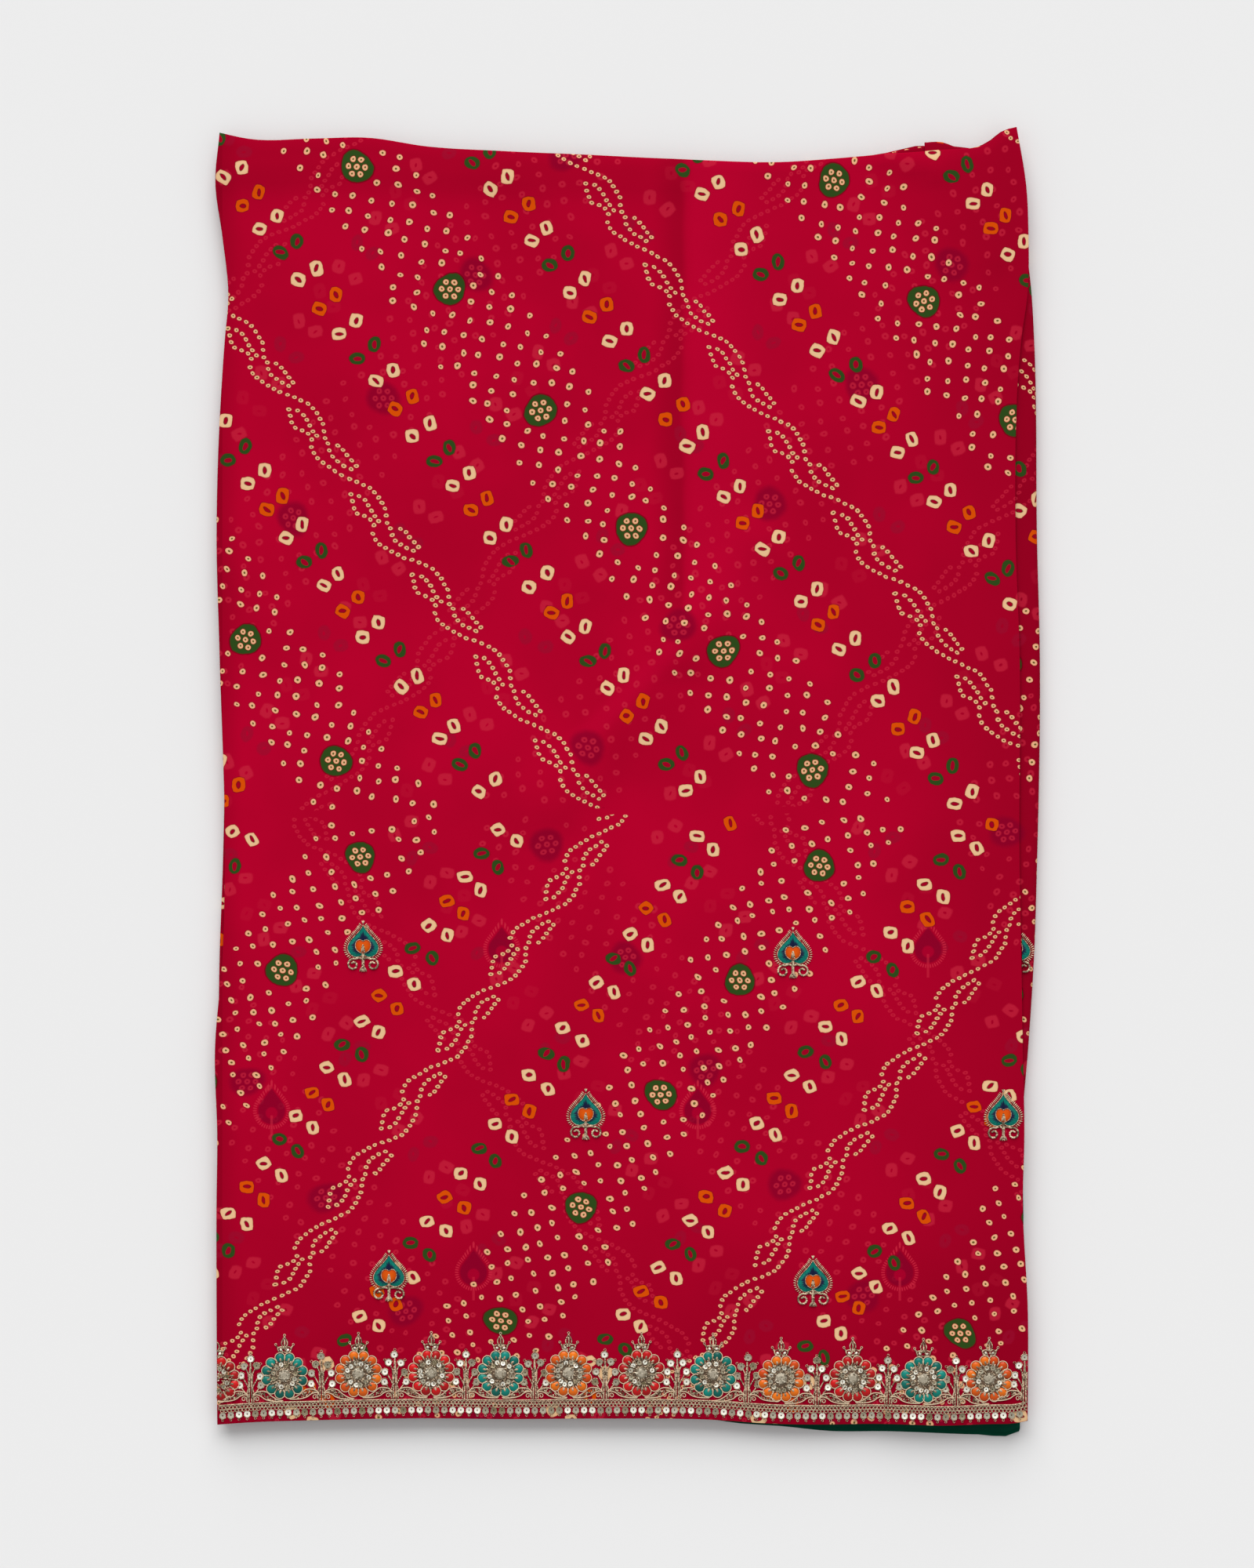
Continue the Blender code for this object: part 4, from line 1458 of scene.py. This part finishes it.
# %% The work between the rosettes
CROWN_UP = 20.0
CROWN_BEADS = 22
CROWN_LOOP = ((0, 3.4), (2.2, 6.0), (2.3, 9.0), (0, 13.0))
CROWN_STEM = ((0, 4), (0.2, 7.5), (0, 11))
CROWN_HORN = ((0.8, -0.4), (3.4, -0.4), (5.2, 1.2), (5.9, 3.8), (7.2, 5.6))
CROWN_LEAF = ((0.8, 3.6), (2.8, 4.6), (5.4, 4.0))
CROWN_TIPS = ((0, 14.4), (7.5, 6.6))
SPRIG_UP = 16.2
SPRIG_SEQUINS = ((0, 38), (5, 31), (-5, 31), (7.9, 23), (-7.9, 23), (9.0, 14.8), (-9.0, 14.8))
SPRIG_STEM = ((1.2, 0), (1.0, 10), (0.7, 22), (0, 35))
SPRIG_STALK = ((2.9, 1), (2.9, 8), (1.6, 14), (1.9, 24))
SPRIG_BUDS = ((0, 42.0), (8.6, 33.4), (-8.6, 33.4))
SPRIG_BRANCHES = (
    ((0.6, 20), (1.6, 24), (3.6, 28.6)),
    ((0.6, 10), (2.8, 15), (6.0, 20.6)),
    ((0.6, 3), (3.6, 7.5), (7.4, 12.4)),
)
LEAF_UPPER = ((2.0, 6.6), (5.6, 9.2), (10.4, 10.0), (14.2, 9.0), (18.0, 5.8), (23.0, 2.8), (27.5, 1.8))
LEAF_LOWER = ((2.0, 6.6), (5.6, 6.8), (9.0, 5.6), (12.0, 3.4), (16.0, 2.0), (21.0, 1.3), (27.5, 1.2))
LEAF_STITCHES = 60
CURL = (5.6, 3.2)


def sew_crown(work, x, y):
    work.across, work.height = x, y + CROWN_UP
    work.both(bend(*CROWN_LOOP), 1.2, 0.8)
    work.cord(bend(*CROWN_STEM), 1.7, 0.9)
    loops(work, [CROWN_TIPS[0]], 0.9, 0.7, 7, 0.5, (0.5, 1.0))
    work.both(bend(*CROWN_HORN), 1.4, 0.8)
    work.both(bend(*CROWN_LEAF), 1.1, 0.8)
    x, y = rng.uniform(-4.4, 4.4, CROWN_BEADS), rng.uniform(-0.4, 3.8, CROWN_BEADS)
    size = rng.uniform((0.6, 0.4, 0.5), (1.2, 0.7, 0.8), (CROWN_BEADS, 3))
    turn, shade = rng.uniform(0, tau, CROWN_BEADS), rng.random(CROWN_BEADS) ** 1.4
    work.add(BEAD, x, y, 0.7, size, turn, 0, 0, shade)
    for side in (1, -1):
        work.add(BEAD, side * 3.0, 1.9, 1.2, (1.5, 1.2, 0.8), 0.6 * side, 0, 1, rng.uniform(0.3, 1))
        loops(work, [np.multiply(CROWN_TIPS[1], (side, 1))], 0.85, 0.7, 6, 0.5, (0.5, 1.0))


def sew_sprig(work, x, y):
    work.across, work.height = x, y
    for side in (1, -1):
        work.cord(bend(*SPRIG_STEM) * (side, 1), 1.4, 0.8, side * 0.6)
        work.cord(bend(*SPRIG_STALK) * (side, 1), 1.2, 0.6)
    places = np.array(SPRIG_SEQUINS) + rng.normal(0, 0.35, (len(SPRIG_SEQUINS), 2))
    work.sequins(places, 2.55, 0.9)
    for place_x, place_y in places:
        outward = np.degrees(np.arctan2(place_y - 22, place_x * 3))
        work.cord(arc(place_x, place_y, 2.95, outward - 150, outward + 150), 0.85, 0.6)
    for branch in SPRIG_BRANCHES:
        work.both(bend(*branch), 1.2, 0.6)
    loops(work, SPRIG_BUDS, 0.95, 0.6, 7)


def sew_scrolls(work, x, y):
    work.across, work.height = x, y
    for line in (LEAF_UPPER, LEAF_LOWER):
        work.both(bend(*line), 1.1, 0.8, 0, 0.85)
    work.both(spiral(*CURL, 2.3, 0.6, 200, -260), 0.9, 0.6, 0, 0.8)
    count = LEAF_STITCHES
    for side in (1, -1):
        along = rng.uniform(0.06, 0.99, count)
        upper, lower = bend(*LEAF_UPPER), bend(*LEAF_LOWER)
        row = (along * (len(upper) - 1)).astype(int)
        spot = mix(lower[row], upper[row], rng.uniform(0.15, 0.85, (count, 1)))
        size = rng.uniform((0.6, 0.35, 0.4), (1.3, 0.6, 0.6), (count, 3))
        shade = rng.random(count) ** 2
        work.add(BEAD, spot[:, 0] * side, spot[:, 1], 0.5, size, rng.uniform(0, tau, count), 0, 0, shade)


def sew_between():
    crowns, sprigs, scrolls = Needlework(), Needlework(), Needlework()
    places = (LEFT_FOLD_ROSETTE, *ROSETTES_ACROSS, RIGHT_FOLD_ROSETTE)
    for across in places[:-1]:
        sew_crown(crowns, *rosette_centre(across))
    for left, right in zip(places, places[1:]):
        x = (left + right) / 2
        y = float(end_line["hem"](x)) + SPRIG_UP
        sew_sprig(sprigs, x, y)
        sew_scrolls(scrolls, x, y)
    for name, work in (("crowns", crowns), ("sprigs", sprigs), ("scrolls", scrolls)):
        made = work.piece(name, [SILVER, SEQUINS])
        print(name, len(made.data.polygons), "faces")


sew_between()

# %% [markdown]
# ## The feathers
# Six peacock feathers lie on the face. A padded patch of satin stitch is skinned from its outline to its
# middle, teal at the edge and navy within. An orange heart lies on it, and silver thread makes the
# comb of barbs, the stem and two scrolls. A seventh feather lies on the layer beside the right fold, and
# only its right side shows.

# %% Feathers
Place = namedtuple("Place", "across height")
FEATHERS = (
    Place(-225.0, -139.4),
    Place(141, -145),
    Place(-35.4, -282.5),
    Place(320, -283),
    Place(-203, -420),
    Place(158.1, -424.6),
)
STRIP_FEATHER = Place(329.9, -142.0)
EYE_SIDE = (
    (0, 18), (2.2, 14.4), (5.2, 10.8), (9.0, 6.8), (12.2, 2.4),
    (13.2, -1.8), (11.8, -5.8), (8.4, -8.6), (4.6, -9.2), (0, -7.4),
)
HEART_SIDE = ((0, 4.4), (2.6, 5.6), (5.4, 4.4), (6.6, 1.0), (5.6, -2.8), (2.8, -5.2), (0, -6.2))
EYE_MIDDLE, HEART_MIDDLE = (0, 0), (0, -1)
EYE_RISE, HEART_RISE = 1.1, 0.7
PATCH_RINGS = 6
BARB_STEP = 1.45
BARBS_FROM = -8.0
BARB_OUT = 2.3
HEART_STEM = ((0.1, 1.6), (1.0, -1.6), (1.4, -5.4))
FEATHER_STEM = ((0.5, -6.0), (0.55, -14), (0.7, -21.5))
CURL_START = ((1.2, -10.5), (3.4, -10.0), (6.2, -10.3))
CURL_ROUND = (8.3, -15.6, 5.2, 1.4, 112, -350)
FAR = 99


def closed(side):
    """A closed outline from its right side, mirrored on the left."""
    right = bend(*side)
    return np.concatenate([right[:-1], right[::-1] * (-1, 1)])


def patch(outline, middle, rise):
    """A padded patch skinned from its outline to its middle, with numbers inward and along."""
    share = np.linspace(0, 1, PATCH_RINGS + 1)[:, None, None]
    rounds = mix(outline[None], np.array(middle, float)[None, None], share)
    rows, columns = rounds.shape[:2]
    small = bmesh.new()
    shade, stitch = (small.verts.layers.float.new(name) for name in ("shade", "stitch"))
    bmesh.ops.create_grid(small, x_segments=columns - 1, y_segments=rows - 1, size=1)
    along = np.concatenate([[0], np.cumsum(np.hypot(*np.diff(outline, axis=0).T))])
    for i, vertex in enumerate(small.verts):
        row, column = divmod(i, columns)
        s = row / (rows - 1)
        vertex.co = (*rounds[row, column], rise * (1 - (1 - s) ** 3))
        vertex[shade], vertex[stitch] = s, along[column]
    bmesh.ops.remove_doubles(small, verts=small.verts, dist=0.001)
    if sum(face.normal.z for face in small.faces) < 0:
        bmesh.ops.reverse_faces(small, faces=small.faces)
    return shape_of(small)


EYE = patch(closed(EYE_SIDE), EYE_MIDDLE, EYE_RISE)
HEART_PATCH = patch(closed(HEART_SIDE), HEART_MIDDLE, HEART_RISE)


def right_part(shape, left):
    """The part of a shape to the right of a line, cut straight."""
    faces = shape.faces[(shape.corners[shape.faces, 0] > left + 0.01).any(1)]
    used, numbers = np.unique(faces, return_inverse=True)
    corners = np.maximum(shape.corners[used], (left, -FAR, -FAR))
    return Shape(corners, numbers.reshape(faces.shape), shape.shades[used], shape.stitches[used])


def sew_feather(name, place, work, eye=EYE, heart=HEART_PATCH):
    work.across, work.height = place
    work.add(eye, 0, 0, 0.3, (1, 1, 1), 0, 0, 1)
    if heart:
        work.add(heart, 0, 0, 1.2, (1, 1, 1), 0, 0, 2)
    work.cord(closed(EYE_SIDE), 0.8, 0.8)
    work.cord(closed(HEART_SIDE), 0.7, 1.6)
    work.both(bend(*HEART_STEM), 1.0, 2.1)
    work.add(BEAD, 0, -2.6, 2.0, (0.9, 2.8, 0.5), 0, 0, 0, 0.5)
    for side in (1, -1):
        x, y, turn = walk(bend(*EYE_SIDE) * (side, 1), BARB_STEP)
        keep = y > BARBS_FROM
        x, y, out = x[keep], y[keep], turn[keep] + side * pi / 2
        length = rng.uniform(1.45, 1.9, len(x))
        x, y = x + BARB_OUT * np.cos(out), y + BARB_OUT * np.sin(out)
        size = np.stack([length, length * 0.25, length * 0.25], 1)
        work.add(BEAD, x, y, 0.6, size, out + side * 0.2, 0, 0, rng.uniform(0.5, 1, len(x)))
    tips = np.radians((66, 90, 114))
    work.add(BEAD, 1.2 * np.cos(tips), 18.6 + 2 * np.sin(tips), 0.6, (1.8, 0.5, 0.45), tips)
    for side in (1, -1):
        work.cord(bend(*FEATHER_STEM) * (side, 1), 1.5, 0.9, side * 0.6)
        work.add(BEAD, side * 1.9, -19.6, 0.9, (0.9, 2.6, 0.5), side * 0.5, 0, 0, 0.4)
    work.both(np.concatenate([bend(*CURL_START), spiral(*CURL_ROUND)]), 2.0, 0.7)
    made = work.piece(name, [SILVER, SATIN, HEART])
    return made


for number, place in enumerate(FEATHERS):
    feather = sew_feather(f"feather_sewn_{number + 1:02d}", place, Needlework())
    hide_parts(f"feather_{number + 1:02d}")
on_strip = Needlework(ground=strip_height, lines=("front_right", "wrap_right"))
fold = float(side_line["front_right"](STRIP_FEATHER.height)) - STRIP_FEATHER.across
sew_feather("feather_on_the_strip", STRIP_FEATHER, on_strip, right_part(EYE, fold + EDGE_MARGIN), None)
print("feathers:", len(FEATHERS), "with", len(feather.data.polygons), "faces each")
